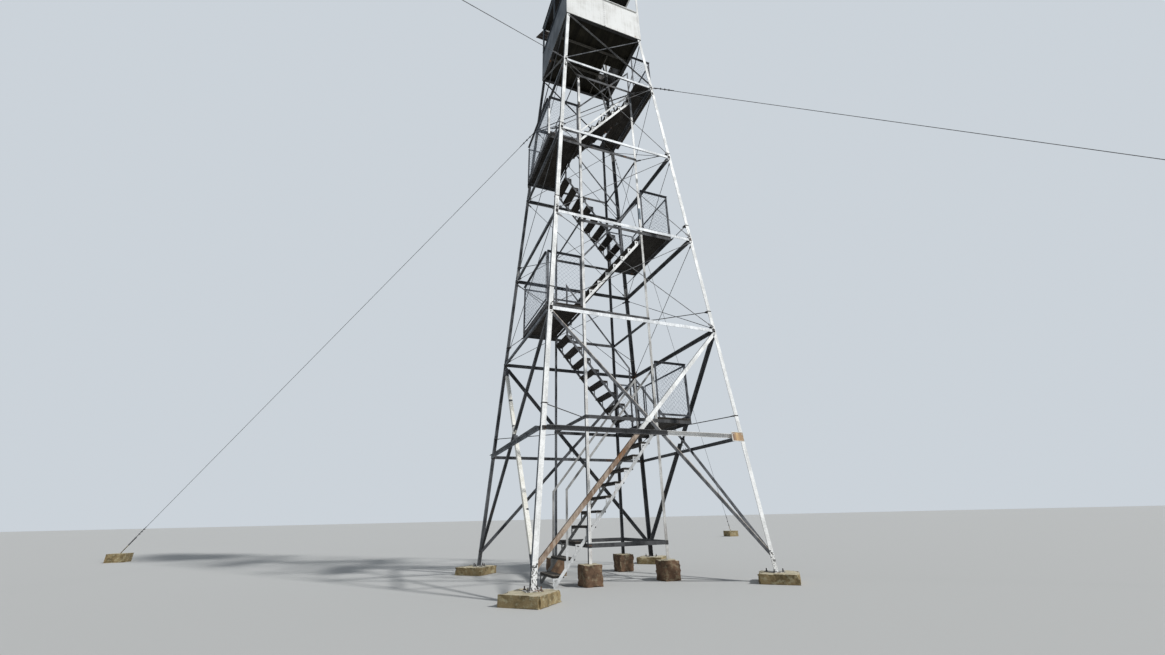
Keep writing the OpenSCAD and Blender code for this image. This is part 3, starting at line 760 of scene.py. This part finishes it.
boltZinc = zinc("boltZinc", tones((0.12, 0.115, 0.11), (0.055, 0.05, 0.048), Rust=0.5, Runs=0.2), 0.2)
nodeZinc = zinc("nodeZinc", tones((0.055, 0.052, 0.050), (0.028, 0.026, 0.025), Rust=0.45, Runs=0.2), 0.2)
spliceZinc = zinc("spliceZinc", tones((0.50, 0.50, 0.49), (0.32, 0.32, 0.31), Rust=0.2), 0.2)
guyZinc = zinc("guyZinc", guySteel, 0.2)
# guy bands: painted sunlight on their front skin
bandZinc = toneWhere(zinc("bandZinc", guySteel, 0.2), outerSkin(-0.001, 0), sunlitSteel)
toneWhere(bandZinc, jointStains, blackTone)

# planks and concrete
# painted shade: near-black boards for the undersides of landings and treads, as if unlit from below
shadedPlank = boards((0.006, 0.005, 0.004), (0.034, 0.027, 0.020), (0.062, 0.058, 0.052))
topPlank = boards((0.060, 0.050, 0.040), (0.22, 0.185, 0.15), (0.31, 0.30, 0.28))
deckSteel = tones((0.11, 0.11, 0.115), (0.05, 0.05, 0.055))
deckSkins = {}
for i, top in enumerate(tower["deckTops"]):
    boardWide = (tower["deckOuts"][i] - tower["deckIn"]) / tower["deckBoards"]
    skin = steelWithPlanks("deckSkin%d" % (i + 1), boardMask(top), deckSteel,
                           {**topPlank, "Board": boardWide, "Wear": 0.5}, 0.6)
    # each landing's undersides in painted shade
    deckSkins["landing_%d" % (i + 1)] = toneWhere(skin, underBoards(top), shadedPlank)
# the cab floor: its underside in near-black boards as painted shade
floorPlank = toneWhere(planks("floorPlank", {**topPlank, "Board": 0.142, "Wear": 0.3}, 0.6),
                       underBoards(tower["floorTop"]),
                       boards((0.004, 0.0035, 0.002), (0.022, 0.019, 0.012), (0.05, 0.045, 0.03)))
# dark brown boards with painted shade: the shutter, seen from below, made very dark as if in shade
shadedBrownBoard = boards((0.010, 0.006, 0.004), (0.045, 0.026, 0.016), (0.06, 0.045, 0.035), Board=0.15, Wear=0.1)
shutterBoard = planks("shutterBoard", shadedBrownBoard, 0.5)
treadPlank = {**topPlank, "Board": stepGoing, "Wear": 0.4}
# flights: painted shade as the base steel, painted sunlight on the sunlit side bars, painted shade under the
# treads
flightSkin = steelWithPlanks("flightSkin", treadMask, innerWornAndShadedSteel, treadPlank, 0.4)
toneWhere(toneWhere(flightSkin, sunlitSideBars, sunlitSteel), underTreads, shadedPlank)
# the first flight: the middle tone as base steel and a paler copy of the sunlit tone on its side bar
firstFlightSkin = steelWithPlanks("firstFlightSkin", treadMask, halfShadedSteel, treadPlank, 0.4)
toneWhere(toneWhere(firstFlightSkin, sunlitSideBars, tones((0.74, 0.75, 0.75), (0.46, 0.47, 0.47))),
          underTreads, shadedPlank)
pierConcrete = makeMaterial("pierConcrete", oldConcrete, {"Growth": 0.6}, 0.9, 0.006)
toneWhere(pierConcrete, stairBlocks, cement((0.19, 0.115, 0.070), (0.075, 0.048, 0.030), Growth=0.25))
toneWhere(pierConcrete, facesUp, cement((0.66, 0.59, 0.43), (0.42, 0.36, 0.24)))

# painted sheet
# painted shade: the blue-grey of the cab's left side and left frames, which lie in shade
paintedShadeCoat = coat((0.070, 0.088, 0.108), (0.042, 0.050, 0.060))
whitePaint = coat((0.88, 0.885, 0.86), (0.62, 0.61, 0.57))
cabPaint = paint("cabPaint", {**whitePaint, "Rust": 0.22, "Dirtiness": 0.55})
# painted shade on the cab's left wall
toneWhere(cabPaint, leftOfCab, paintedShadeCoat)
toneWhere(cabPaint, hemRust, {"Dirt": colour(0.36, 0.24, 0.16), "Dirtiness": 1.0})
# painted shade: the inside of the cab walls near black
toneWhere(cabPaint, insideCab, coat((0.045, 0.040, 0.034), (0.025, 0.021, 0.017)))
trimPaint = paint("trimPaint", coat((0.84, 0.84, 0.82), (0.50, 0.50, 0.47), Rust=0.4, Dirtiness=0.6))
# painted shade on the left trims
toneWhere(trimPaint, leftOfCab, paintedShadeCoat)
# painted shadow: a dark line along the bottom edge of the cab trims
toneWhere(trimPaint, hemShadow, coat((0.07, 0.07, 0.065), (0.05, 0.04, 0.035)))
rivetPaint = paint("rivetPaint", {**whitePaint, "Rust": 0.4, "Dirtiness": 0.6}, 0.1)
# painted shade on the left rivets
toneWhere(rivetPaint, leftOfCab, paintedShadeCoat)
toneWhere(rivetPaint, seamRivets, coat((0.10, 0.085, 0.07), (0.05, 0.04, 0.03)))
framePaint = paint("framePaint", coat((0.80, 0.80, 0.78), (0.45, 0.45, 0.42), Rust=0.4, Dirtiness=0.6))
# painted shade on the left window frames and corners
toneWhere(framePaint, leftFrames, paintedShadeCoat)
roofPaint = paint("roofPaint", coat((0.33, 0.36, 0.37), (0.17, 0.18, 0.18), Rust=0.6, Dirtiness=0.7))
# painted shade: the roof's underside near black
toneWhere(roofPaint, underRoof, coat((0.014, 0.013, 0.012), (0.008, 0.007, 0.006)))
signPaint = paint("signPaint", coat((0.70, 0.47, 0.23), (0.86, 0.78, 0.60), Rust=0.7, Dirtiness=0.9))
toneWhere(signPaint, signStain, coat((0.24, 0.145, 0.105), (0.17, 0.105, 0.08)))

nodeFinish = {
    "legs": legZinc, "leg_shoes": shoeZinc, "stair_posts": postZinc, "stair_rings": shadedRingZinc,
    "stair_ties": tieZinc, "cab_frame": cabSteel, "cab_floor": floorPlank, "cab_corners": framePaint,
    "window_frames": framePaint, "shutter": shutterBoard, "roof": roofPaint, "roof_cap": roofPaint,
    "guy_wires": guyZinc, "guy_bands": bandZinc, "guy_anchors": pierConcrete, "sign_plate": signPaint,
    "piers": pierConcrete, "braces_front": frontBraceZinc, "braces_left": leftBraceZinc,
    "struts_front": frontStrutZinc, "struts_left": leftStrutZinc, "flight_1": firstFlightSkin,
    "flight_6": shadedRingZinc, "railing_4": fourthRailZinc, **deckSkins,
}
startsWith = {"struts_": strutZinc, "braces_": braceZinc, "railing_": railZinc,
              "flight_": flightSkin, "cab_wall_": cabPaint}
for name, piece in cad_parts.items():
    material = nodeFinish.get(name) or next(m for start, m in startsWith.items() if name.startswith(start))
    piece.data.materials.clear()
    piece.data.materials.append(material)
print("materials on all nodes")

# bolts of the outer frame: through strut and leg, at the braces' ends and on the base crossing's plate
outerBolts = {"head": (0.0155, 0.009), "in": (0.034, 0.060), "up": 0.016,
              "endHead": (0.011, 0.009), "ends": ((0.0446, 0.0096), (0.0666, 0.0416)),
              "plateHead": (0.010, 0.009), "plateAcross": 0.042, "plateUp": 0.036, "plateRaise": 0.030}
bm = bmesh.new()
for k in range(4):
    place = faceFrame(k)
    for level, z in enumerate(tower["strutLevels"]):
        outside = -tower["barThick"] if level == 0 else 0.0
        inside = legInside if level == 0 else legInside + tower["barThick"]
        for side in (-1, 1):
            for dx in outerBolts["in"]:
                for dz in (-outerBolts["up"], outerBolts["up"]):
                    x, up = side * (halfAt(z) - dx), upSlope(z) + dz
                    addBolt(bm, place @ moved(x, outside, up), *outerBolts["head"])
                    addBolt(bm, place @ moved(x, inside, up) @ turned(math.pi, "Z"), *outerBolts["head"])
    for foot, head in zip(braceFeet, braceHeads):
        for z, slopeUp in ((foot, 1), (head, -1)):
            for side in (-1, 1):
                for dx, dz in outerBolts["ends"]:
                    end = moved(side * (halfAt(z) - dx), 0, upSlope(z) + slopeUp * dz)
                    addBolt(bm, place @ end, *outerBolts["endHead"])
    middle = upSlope(tower["braceCross"]) + outerBolts["plateRaise"]
    for side in (-1, 1):
        for flip in (-1, 1):
            spot = moved(side * outerBolts["plateAcross"], legInside - tower["barThick"],
                         middle + flip * outerBolts["plateUp"])
            addBolt(bm, place @ spot, *outerBolts["plateHead"])
finishPiece(bm, "outerBolts", nodeZinc)

# anchor bolts on the shoes
shoeBolts = {"out": 0.085, "nut": (0.019, 0.014), "stud": 0.009, "studFrom": 0.012, "studTo": 0.045}
bm = bmesh.new()
for k in range(4):
    centre = -halfAt(tower["pierTop"]) + tower["legWidth"] / 2
    for dy in (-shoeBolts["out"], shoeBolts["out"]):
        for dx in (-shoeBolts["out"], shoeBolts["out"]):
            base = quarterTurn(k) @ moved(centre + dx, centre + dy, tower["pierTop"] + tower["shoeThick"])
            addBolt(bm, base @ faceUp, *shoeBolts["nut"])
            studEnds = [(0, 0, shoeBolts[key]) for key in ("studFrom", "studTo")]
            addRod(bm, *studEnds, shoeBolts["stud"], 8, base)
finishPiece(bm, "shoeBolts", boltZinc)

# stair tower bolts, through each post and ring
stairBolts = {"in": (0.014, 0.036), "head": (0.010, 0.007)}
bm = bmesh.new()
for top in [tower["lowRing"]] + [deck - tower["boardThick"] for deck in tower["deckTops"]]:
    z = top - tower["ringWidth"] / 2
    outX, outY = tower["postX"] + tower["ringThick"], tower["postY"] + tower["ringThick"]
    for sx in (-1, 1):
        for sy in (-1, 1):
            for d in stairBolts["in"]:
                front = moved(sx * (tower["postX"] - d), sy * outY, z) @ turned(0 if sy < 0 else math.pi, "Z")
                side = moved(sx * outX, sy * (tower["postY"] - d), z) @ turned(sx * math.pi / 2, "Z")
                addBolt(bm, front, *stairBolts["head"])
                addBolt(bm, side, *stairBolts["head"])
finishPiece(bm, "stairBolts", boltZinc)
print("bolts placed")

# woven wire mesh on the landing railings
railMesh = {"pitch": 0.062, "wire": 0.0015, "rim": 0.0024, "shortest": 0.02, "low": 0.045, "high": 1.075,
            "near": 0.004, "far": 0.010, "topIn": 0.006}


def meshPanel(bm, start, end, low, high, inset):
    # upright panel of crossing slanted wires between two points of the plan
    start, end = Vector(start), Vector(end)
    run, rise = (end - start).length, high - low
    along = (end - start) / run
    for lean in (-1, 1):
        offset = inset * railMesh["wire"] * lean
        step = -rise
        while step < run:
            a, b = max(0.0, step), min(run, step + rise)
            if b - a > railMesh["shortest"]:
                ends = []
                for u in (a, b):
                    v = (u - step) if lean > 0 else rise - (u - step)
                    ends.append(start + along * u + offset + Vector((0, 0, low + v)))
                addRod(bm, *ends, railMesh["wire"], 4)
            step += railMesh["pitch"] * math.sqrt(2)
    for z in (low, high):
        addRod(bm, start + Vector((0, 0, z)), end + Vector((0, 0, z)), railMesh["rim"], 6)


for i, deck in enumerate(tower["deckTops"]):
    bm = bmesh.new()
    s = landingSide(i)
    y = tower["postY"] if i < 4 else tower["topRailY"] - railMesh["topIn"]
    x0 = s * (tower["deckIn"] + railMesh["near"])
    x1 = s * (tower["deckOuts"][i] - railMesh["far"])
    low, high = deck + railMesh["low"], deck + railMesh["high"]
    for sy in (-1, 1):
        meshPanel(bm, (x0, sy * y, 0), (x1, sy * y, 0), low, high, Vector((0, -sy, 0)))
    meshPanel(bm, (x1, -y, 0), (x1, y, 0), low, high, Vector((-s, 0, 0)))
    finishPiece(bm, "railMesh%d" % (i + 1), meshZinc)
print("railing mesh made")

# tread seats: flat bars under the treads' ends, with bolt heads on top of the treads
treadSeats = {"from": 0.004, "to": 0.150, "wide": 0.032, "thick": 0.004, "gap": 0.0002,
              "bolts": (0.045, 0.125), "boltIn": 0.018, "head": (0.009, 0.004)}
for i, treads in enumerate(tower["flightTreads"]):
    bm = bmesh.new()
    turn = turned(0 if landingSide(i) > 0 else math.pi, "Z")
    for j in range(1, treads + 1):
        x = tower["deckIn"] - j * stepGoing
        z = tower["deckTops"][0] + i * tower["flightRise"] - j * stepRise
        top = z - tower["treadThick"] - treadSeats["gap"]
        for y, inward in ((-tower["flightNear"] - tower["sideThick"], -1),
                          (-tower["flightFar"] + tower["sideThick"], 1)):
            boxBetween(bm, (x + treadSeats["from"], y, top - treadSeats["thick"]),
                       (x + treadSeats["to"], y + inward * treadSeats["wide"], top), turn)
            for dx in treadSeats["bolts"]:
                spot = turn @ moved(x + dx, y + inward * treadSeats["boltIn"], z)
                addBolt(bm, spot @ faceUp, *treadSeats["head"])
    finishPiece(bm, "treadSeats%d" % (i + 1), boltZinc)
print("tread seats made")

# cab trim: seams, corner covers, sill drips and hems, with rivets
cabTrim = {"thick": 0.0016, "seamHalf": 0.025, "seamShort": 0.002, "cornerWidth": 0.055, "barIn": 0.060,
           "dripOut": 0.028, "dripThick": 0.003, "lipFrom": 0.002, "lipTo": 0.022, "lipThick": 0.002,
           "hemOut": 0.00256, "hemTall": 0.028, "footBolt": (0.016, 0.010), "footBoltUp": 0.012,
           "rivet": 0.006, "rivetPitch": 0.085, "rivetFrom": 0.050, "rivetTo": 0.030,
           "seamRivets": 0.015, "cornerRivets": 0.030, "levelRivet": 0.005, "levelPitch": 0.1105,
           "levelIn": (0.110, 0.100), "hemRivets": 0.014, "headRivets": 0.022}
bm = bmesh.new()
rivets = bmesh.new()
half, foot, sill = tower["cabHalf"], tower["cabLow"], tower["sill"]
skin, hem, bar = -cabTrim["thick"], -cabTrim["hemOut"], half - cabTrim["barIn"]
drip, lip = -cabTrim["dripOut"], cabTrim["lipThick"] - cabTrim["dripOut"]
hemRow, headRow = foot + cabTrim["hemRivets"], tower["windowHead"] + cabTrim["headRivets"]
for k in range(4):
    wall = wallFrame(k)
    boxBetween(bm, (-cabTrim["seamHalf"], skin, foot + cabTrim["seamShort"]),
               (cabTrim["seamHalf"], 0, sill - cabTrim["seamShort"]), wall)
    for side in (-1, 1):
        boxBetween(bm, (side * (half + cabTrim["thick"]), skin, foot),
                   (side * (half - cabTrim["cornerWidth"]), 0, tower["wallTop"]), wall)
    boxBetween(bm, (-bar, drip, sill - cabTrim["dripThick"]), (bar, cabTrim["lipThick"], sill), wall)
    boxBetween(bm, (-bar, drip, sill - cabTrim["lipTo"]), (bar, lip, sill - cabTrim["lipFrom"]), wall)
    boxBetween(bm, (-bar, hem, foot), (bar, 0, foot + cabTrim["hemTall"]), wall)
    z = foot + cabTrim["rivetFrom"]
    corner = half - cabTrim["cornerRivets"]
    while z < sill - cabTrim["rivetTo"]:
        for x in (-cabTrim["seamRivets"], cabTrim["seamRivets"], -corner, corner):
            addRivet(rivets, wall @ moved(x, skin, z), cabTrim["rivet"])
        z += cabTrim["rivetPitch"]
    x = -half + cabTrim["levelIn"][0]
    while x < half - cabTrim["levelIn"][1]:
        addRivet(rivets, wall @ moved(x, hem, hemRow), cabTrim["levelRivet"])
        addRivet(rivets, wall @ moved(x, 0, headRow), cabTrim["levelRivet"])
        x += cabTrim["levelPitch"]
    addBolt(rivets, wall @ moved(0, hem, foot + cabTrim["footBoltUp"]), *cabTrim["footBolt"])
finishPiece(bm, "cabTrim", trimPaint)
finishPiece(rivets, "cabRivets", rivetPaint)
print("cab trimmed")

# roof: hip caps, standing seams and a drip edge
roofTrim = {"seams": (-0.72, -0.36, 0.0, 0.36, 0.72), "seamHalf": 0.006, "seamFrom": 0.004, "seamTall": 0.016,
            "sunk": 0.001, "cap": 0.060, "short": 0.035, "edgeIn": 0.004, "edgeThick": 0.003,
            "edge": (-0.018, -0.0005), "hip": 0.019, "hipIn": 0.006}
pitchAngle = math.atan(tower["roofPitch"])
half, cap = tower["roofHalf"], roofTrim["cap"]
eave, hipFoot = half - roofTrim["edgeIn"], half - roofTrim["hipIn"]
bm = bmesh.new()
for k in range(4):
    turn = quarterTurn(k)
    slope = turn @ moved(0, -half, tower["roofLow"]) @ turned(pitchAngle, "X")
    for x in roofTrim["seams"]:
        run = (half - max(abs(x), cap) - roofTrim["short"]) / math.cos(pitchAngle)
        boxBetween(bm, (x - roofTrim["seamHalf"], roofTrim["seamFrom"], -roofTrim["sunk"]),
                   (x + roofTrim["seamHalf"], run, roofTrim["seamTall"]), slope)
    boxBetween(bm, (-eave, 0, roofTrim["edge"][0]), (eave, roofTrim["edgeThick"], roofTrim["edge"][1]), slope)
    hipTop = tower["roofLow"] + tower["roofPitch"] * (half - cap)
    addRod(bm, (-hipFoot, -hipFoot, tower["roofLow"]), (-cap, -cap, hipTop), roofTrim["hip"], 10, turn)
finishPiece(bm, "roofSeams", roofPaint)
print("roof seamed")

# shutter: battens, a strip along one edge, and strap hinges
shutterTrim = {"open": 44.0, "high": 1.150, "thick": 0.026, "wide": 1.048,
               "battens": (0.14, 0.52, 0.90), "battenIn": 0.030, "battenWide": 0.085, "battenThick": 0.020,
               "stripTo": 0.050, "stripShort": 0.070, "stripThick": 0.006, "hinges": (0.16, 0.84),
               "strapFrom": 0.004, "strapTo": 0.420, "strapWide": 0.045, "strapThick": 0.004,
               "strapBolts": (0.08, 0.22, 0.36), "boltAcross": 0.022, "head": (0.010, 0.006),
               "pinFrom": -0.012, "pinTo": 0.057, "pinUp": 0.006, "pin": 0.008}
leaf = (moved(-tower["cabHalf"], tower["cabHalf"], tower["windowHead"])
        @ turned(math.radians(shutterTrim["open"]), "X"))
bm = bmesh.new()
left, under = shutterTrim["battenIn"], -shutterTrim["thick"]
for y in shutterTrim["battens"]:
    boxBetween(bm, (left, y, under - shutterTrim["battenThick"]),
               (shutterTrim["wide"] - left, y + shutterTrim["battenWide"], under), leaf)
boxBetween(bm, (left, 0, 0), (shutterTrim["stripTo"], shutterTrim["high"] - shutterTrim["stripShort"],
           shutterTrim["stripThick"]), leaf)
finishPiece(bm, "shutterBattens", shutterBoard, 0.003)
bm = bmesh.new()
for x in shutterTrim["hinges"]:
    boxBetween(bm, (x, shutterTrim["strapFrom"], 0),
               (x + shutterTrim["strapWide"], shutterTrim["strapTo"], shutterTrim["strapThick"]), leaf)
    pinEnds = [(x + reach, shutterTrim["pinUp"], shutterTrim["strapThick"])
               for reach in (shutterTrim["pinFrom"], shutterTrim["pinTo"])]
    addRod(bm, *pinEnds, shutterTrim["pin"], 10, leaf)
    for y in shutterTrim["strapBolts"]:
        spot = leaf @ moved(x + shutterTrim["boltAcross"], y, shutterTrim["strapThick"])
        addBolt(bm, spot @ faceUp, *shutterTrim["head"])
finishPiece(bm, "shutterHinges", boltZinc)
print("shutter dressed")

# sign: raised rim and its bolts
signTrim = {"right": 0.057, "wide": 0.245, "tall": 0.160, "drop": 0.045, "face": 0.067,
            "rim": 0.010, "leftRim": 0.018, "proud": 0.004,
            "boltLeft": 0.045, "boltRight": 0.035, "boltUp": 0.045, "head": (0.009, 0.006)}
place = faceFrame(0)
signLevel = tower["strutLevels"][0]
x1 = halfAt(signLevel) - signTrim["right"]
x0 = x1 - signTrim["wide"]
z1 = upSlope(signLevel) + tower["strutWidth"] / 2 - signTrim["drop"] + signTrim["tall"] / 2
z0 = z1 - signTrim["tall"]
front, back, rim = -signTrim["face"] - signTrim["proud"], -signTrim["face"], signTrim["rim"]
inner0, inner1 = x0 + signTrim["leftRim"], x1 - rim
bm = bmesh.new()
boxBetween(bm, (x0, front, z0), (inner0, back, z1), place)
boxBetween(bm, (inner1, front, z0), (x1, back, z1), place)
for low in (z0, z1 - rim):
    boxBetween(bm, (inner0, front, low), (inner1, back, low + rim), place)
for x in (x0 + signTrim["boltLeft"], x1 - signTrim["boltRight"]):
    spot = place @ moved(x, back, (z0 + z1) / 2 + signTrim["boltUp"])
    addBolt(bm, spot, *signTrim["head"])
finishPiece(bm, "signRim", shoeZinc, 0.001)
print("sign rimmed")

# leg splices: bolts over and under each joint, and a plate inside the leg
splice = {"rows": (-0.100, -0.055, 0.055, 0.100), "in": 0.046, "head": (0.009, 0.007),
          "plateIn": 0.044, "plate": (0.024, 0.006, 0.130)}
bm = bmesh.new()
for k in range(4):
    place = faceFrame(k)
    for z in marks["spliceSeams"]:
        for side in (-1, 1):
            for dz in splice["rows"]:
                spot = place @ moved(side * (halfAt(z) - splice["in"]), 0, upSlope(z) + dz)
                addBolt(bm, spot, *splice["head"])
            dx, dy, dz = splice["plate"]
            x, y = side * (halfAt(z) - splice["plateIn"]), tower["legThick"]
            boxBetween(bm, (x - dx, y, upSlope(z) - dz), (x + dx, y + dy, upSlope(z) + dz), place)
finishPiece(bm, "legSplices", spliceZinc)
print("legs spliced")

# straps round the legs that hold the stair tower's tie rods
tieStraps = {"under": 0.105, "tall": 0.018, "thick": 0.003, "reach": 0.074, "toe": 0.064,
             "head": (0.010, 0.006)}
bm = bmesh.new()
for k in range(4):
    place = faceFrame(k)
    for deck in tower["deckTops"][:4]:
        z = deck - tieStraps["under"]
        low, high = (upSlope(z) + side * tieStraps["tall"] / 2 for side in (-1, 1))
        for side in (-1, 1):
            boxBetween(bm, (side * (halfAt(z) - tieStraps["reach"]), -tieStraps["thick"], low),
                       (side * (halfAt(z) + tieStraps["thick"]), 0, high), place)
            spot = place @ moved(side * (halfAt(z) - tieStraps["toe"]), -tieStraps["thick"], upSlope(z))
            addBolt(bm, spot, *tieStraps["head"])
finishPiece(bm, "tieStraps", nodeZinc)
print("ties strapped")

# guy wires: clips, doubled ends, the eyes' sleeves and turnbuckles
guy = {"foot": 0.250, "anchors": ((-12.2, -10.5), (12.2, -12.2), (12.2, 12.2), (-11.5, 12.2)),
       "wire": 0.006, "rod": 0.450, "beside": 0.0125, "clip": (0.010, 0.013, 0.012),
       "topTail": (0.110, 0.620), "topClips": (0.24, 0.36, 0.48),
       "footTail": (0.860, 0.360), "footClips": (0.50, 0.62, 0.74),
       "stud": 0.004, "studFrom": 0.012, "studTo": 0.034,
       "sleeve": 0.016, "sleeveFrom": 0.048, "sleeveTo": 0.115, "screw": 0.340, "past": 0.020,
       "bar": 0.007, "barBeside": 0.017, "barIn": (0.030, 0.020), "end": 0.022, "endIn": 0.020}
bm = bmesh.new()
guyTop = tower["strutLevels"][-1]
for (sx, sy), anchor in zip(cornerSigns, guy["anchors"]):
    top = Vector((sx * halfAt(guyTop), sy * halfAt(guyTop), guyTop))
    foot = Vector((*anchor, guy["foot"]))
    along = Matrix.Translation(top) @ (foot - top).to_track_quat("Z", "X").to_matrix().to_4x4()
    lastWire = (foot - top).length - guy["rod"]
    side, (dx, dy, dz) = guy["beside"], guy["clip"]
    footTail, footClips = ([lastWire - back for back in guy[key]] for key in ("footTail", "footClips"))
    for tail, clips in ((guy["topTail"], guy["topClips"]), (footTail, footClips)):
        addRod(bm, (side, 0, tail[0]), (side, 0, tail[1]), guy["wire"], 8, along)
        for clip in clips:
            boxBetween(bm, (-dx, -dy, clip - dz), (side + dx, dy, clip + dz), along)
            for x in (-guy["stud"], side + guy["stud"]):
                addRod(bm, (x, guy["studFrom"], clip), (x, guy["studTo"], clip), guy["stud"], 6, along)
    # sleeve under the eye, and the turnbuckle over the anchor rod
    addRod(bm, (0, 0, guy["sleeveFrom"]), (0, 0, guy["sleeveTo"]), guy["sleeve"], 12, along)
    low, high = lastWire - guy["screw"], lastWire + guy["past"]
    for x in (-guy["barBeside"], guy["barBeside"]):
        addRod(bm, (x, 0, low + guy["barIn"][0]), (x, 0, high - guy["barIn"][1]), guy["bar"], 8, along)
    for z in (low + guy["endIn"], high - guy["endIn"]):
        addRod(bm, (0, 0, z - guy["end"]), (0, 0, z + guy["end"]), guy["end"], 12, along)
finishPiece(bm, "guyFittings", guyZinc)
print("guy wires fitted")

# worn concrete blocks in place of the plain ones
blocks = {"legWidth": 0.590, "legTall": 0.140, "postWidth": 0.310, "postTall": 0.305, "cells": 18,
          "chip": 0.026, "reach": 0.030, "wave": 0.0035, "chipScale": 9.0, "waveScale": 14.0}


def wornBlock(bm, centre, wide, tall, turn, seed):
    # box of even cells whose edges are chipped away inwards
    piece = bmesh.new()
    bmesh.ops.create_cube(piece, size=1)
    bmesh.ops.subdivide_edges(piece, edges=piece.edges[:], cuts=blocks["cells"] - 1, use_grid_fill=True)
    sizes = (wide, wide, tall)
    for vert in piece.verts:
        gaps = [(0.5 - abs(vert.co[axis])) * sizes[axis] for axis in range(3)]
        if vert.co.z < 0:
            gaps[2] = 1.0 if vert.co.z > -0.499 else 0.0
        onFace = [axis for axis in range(3) if gaps[axis] < 1e-5]
        here = Vector([vert.co[axis] * sizes[axis] for axis in range(3)])
        edgeGap = sorted(gaps)[1] if vert.co.z > -0.499 else min(gaps[0], gaps[1])
        spot = here + Vector((seed * 3.1, seed * 1.7, seed))
        rough = noise.fractal(spot * blocks["chipScale"], 1.0, 2.1, 4)
        bite = blocks["chip"] * max(0.0, 0.25 + rough * 1.5) * math.exp(-edgeGap / blocks["reach"])
        for axis in onFace:
            if axis == 2 and vert.co.z < 0:
                continue
            swell = blocks["wave"] * (0.5 + 0.5 * noise.noise(spot * blocks["waveScale"]))
            push = bite + (swell if axis != 2 else swell * (1 - math.exp(-max(0.0, 0.12 - edgeGap) / 0.03)))
            here[axis] -= math.copysign(push, vert.co[axis])
        vert.co = here
    lift = Matrix.Translation(Vector(centre) + Vector((0, 0, tall / 2)))
    bmesh.ops.transform(piece, matrix=lift @ turned(turn, "Z"), verts=piece.verts)
    mesh = meshFrom(piece, "block")
    bm.from_mesh(mesh)
    bpy.data.meshes.remove(mesh)


bm = bmesh.new()
postMidX, postMidY = (tower[key] - tower["postWidth"] / 2 for key in ("postX", "postY"))
for k, (sx, sy) in enumerate(cornerSigns):
    wornBlock(bm, (sx * tower["footHalf"], sy * tower["footHalf"], 0), blocks["legWidth"], blocks["legTall"],
              math.pi / 4, k + 1)
    wornBlock(bm, (sx * postMidX, sy * postMidY, 0), blocks["postWidth"], blocks["postTall"], 0.0, k + 11)
wornPiers = finishPiece(bm, "wornPiers", pierConcrete)
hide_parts("piers")
print("piers worn")

# floor, lamp, world and camera
studio = {"floorSize": 3000.0, "floorColour": colour(0.60, 0.60, 0.58), "floorRough": 0.9, "floorDrop": 0.001,
          "backColour": colour(0.60, 0.65, 0.70), "fill": colour(0.62, 0.68, 0.76), "fillStrength": 0.34,
          "sunStrength": 2.7, "sunAngle": 4.0, "sunFrom": (0.46, -0.62, 0.64)}
bm = bmesh.new()
bmesh.ops.create_grid(bm, x_segments=1, y_segments=1, size=studio["floorSize"] / 2)
studioFloor = addObject("studioFloor", meshFrom(bm, "studioFloor"))
floorPaint = bpy.data.materials.new("floorPaint")
floorPaint.use_nodes = True
floorShader = floorPaint.node_tree.nodes["Principled BSDF"]
floorShader.inputs["Base Color"].default_value = studio["floorColour"]
floorShader.inputs["Roughness"].default_value = studio["floorRough"]
studioFloor.data.materials.append(floorPaint)
studioFloor.location.z = -studio["floorDrop"]
studioFloor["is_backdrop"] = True

sunLamp = bpy.data.lights.new("sunLamp", "SUN")
sunLamp.energy, sunLamp.angle = studio["sunStrength"], math.radians(studio["sunAngle"])
sun = addObject("sunLamp", sunLamp)
sun.rotation_mode = "QUATERNION"
sun.rotation_quaternion = Vector(studio["sunFrom"]).to_track_quat("Z", "Y")

# camera and mirror rays see the backdrop, all others the fill light
world = bpy.data.worlds.new("studioWorld")
bpy.context.scene.world = world
world.use_nodes = True
tree = world.node_tree
rays = addNode(tree, "ShaderNodeLightPath").outputs
seen = larger(rays["Is Camera Ray"], larger(rays["Is Glossy Ray"], rays["Is Transmission Ray"]))
fill = addNode(tree, "ShaderNodeBackground", {"Color": studio["fill"], "Strength": studio["fillStrength"]})
shown = addNode(tree, "ShaderNodeBackground", {"Color": studio["backColour"], "Strength": 1.0})
blend = addNode(tree, "ShaderNodeMixShader", {0: seen, 1: fill.outputs[0], 2: shown.outputs[0]})
link(blend.outputs[0], tree.nodes["World Output"].inputs["Surface"])

photoView = {"place": (-3.7725, -8.3481, 0.9740), "yaw": 21.9996, "pitch": 22.4947, "roll": -1.3048,
             "lens": 14.231, "sensor": 36.0, "clip": (0.05, 5000.0)}
yaw, pitch, roll = (math.radians(photoView[key]) for key in ("yaw", "pitch", "roll"))
ahead = Vector((math.sin(yaw) * math.cos(pitch), math.cos(yaw) * math.cos(pitch), math.sin(pitch)))
levelRight = Vector((math.cos(yaw), -math.sin(yaw), 0))
levelUp = levelRight.cross(ahead)
right = math.cos(roll) * levelRight + math.sin(roll) * levelUp
upwards = -math.sin(roll) * levelRight + math.cos(roll) * levelUp
lens = bpy.data.cameras.new("photoCamera")
lens.lens, lens.sensor_width = photoView["lens"], photoView["sensor"]
lens.clip_start, lens.clip_end = photoView["clip"]
photoCamera = addObject("photoCamera", lens)
turn = Matrix((right, upwards, -ahead)).transposed().to_4x4()
photoCamera.matrix_world = Matrix.Translation(photoView["place"]) @ turn
bpy.context.scene.camera = photoCamera
bpy.context.scene.view_settings.view_transform = "Standard"
print("stage and camera set")

low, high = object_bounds()
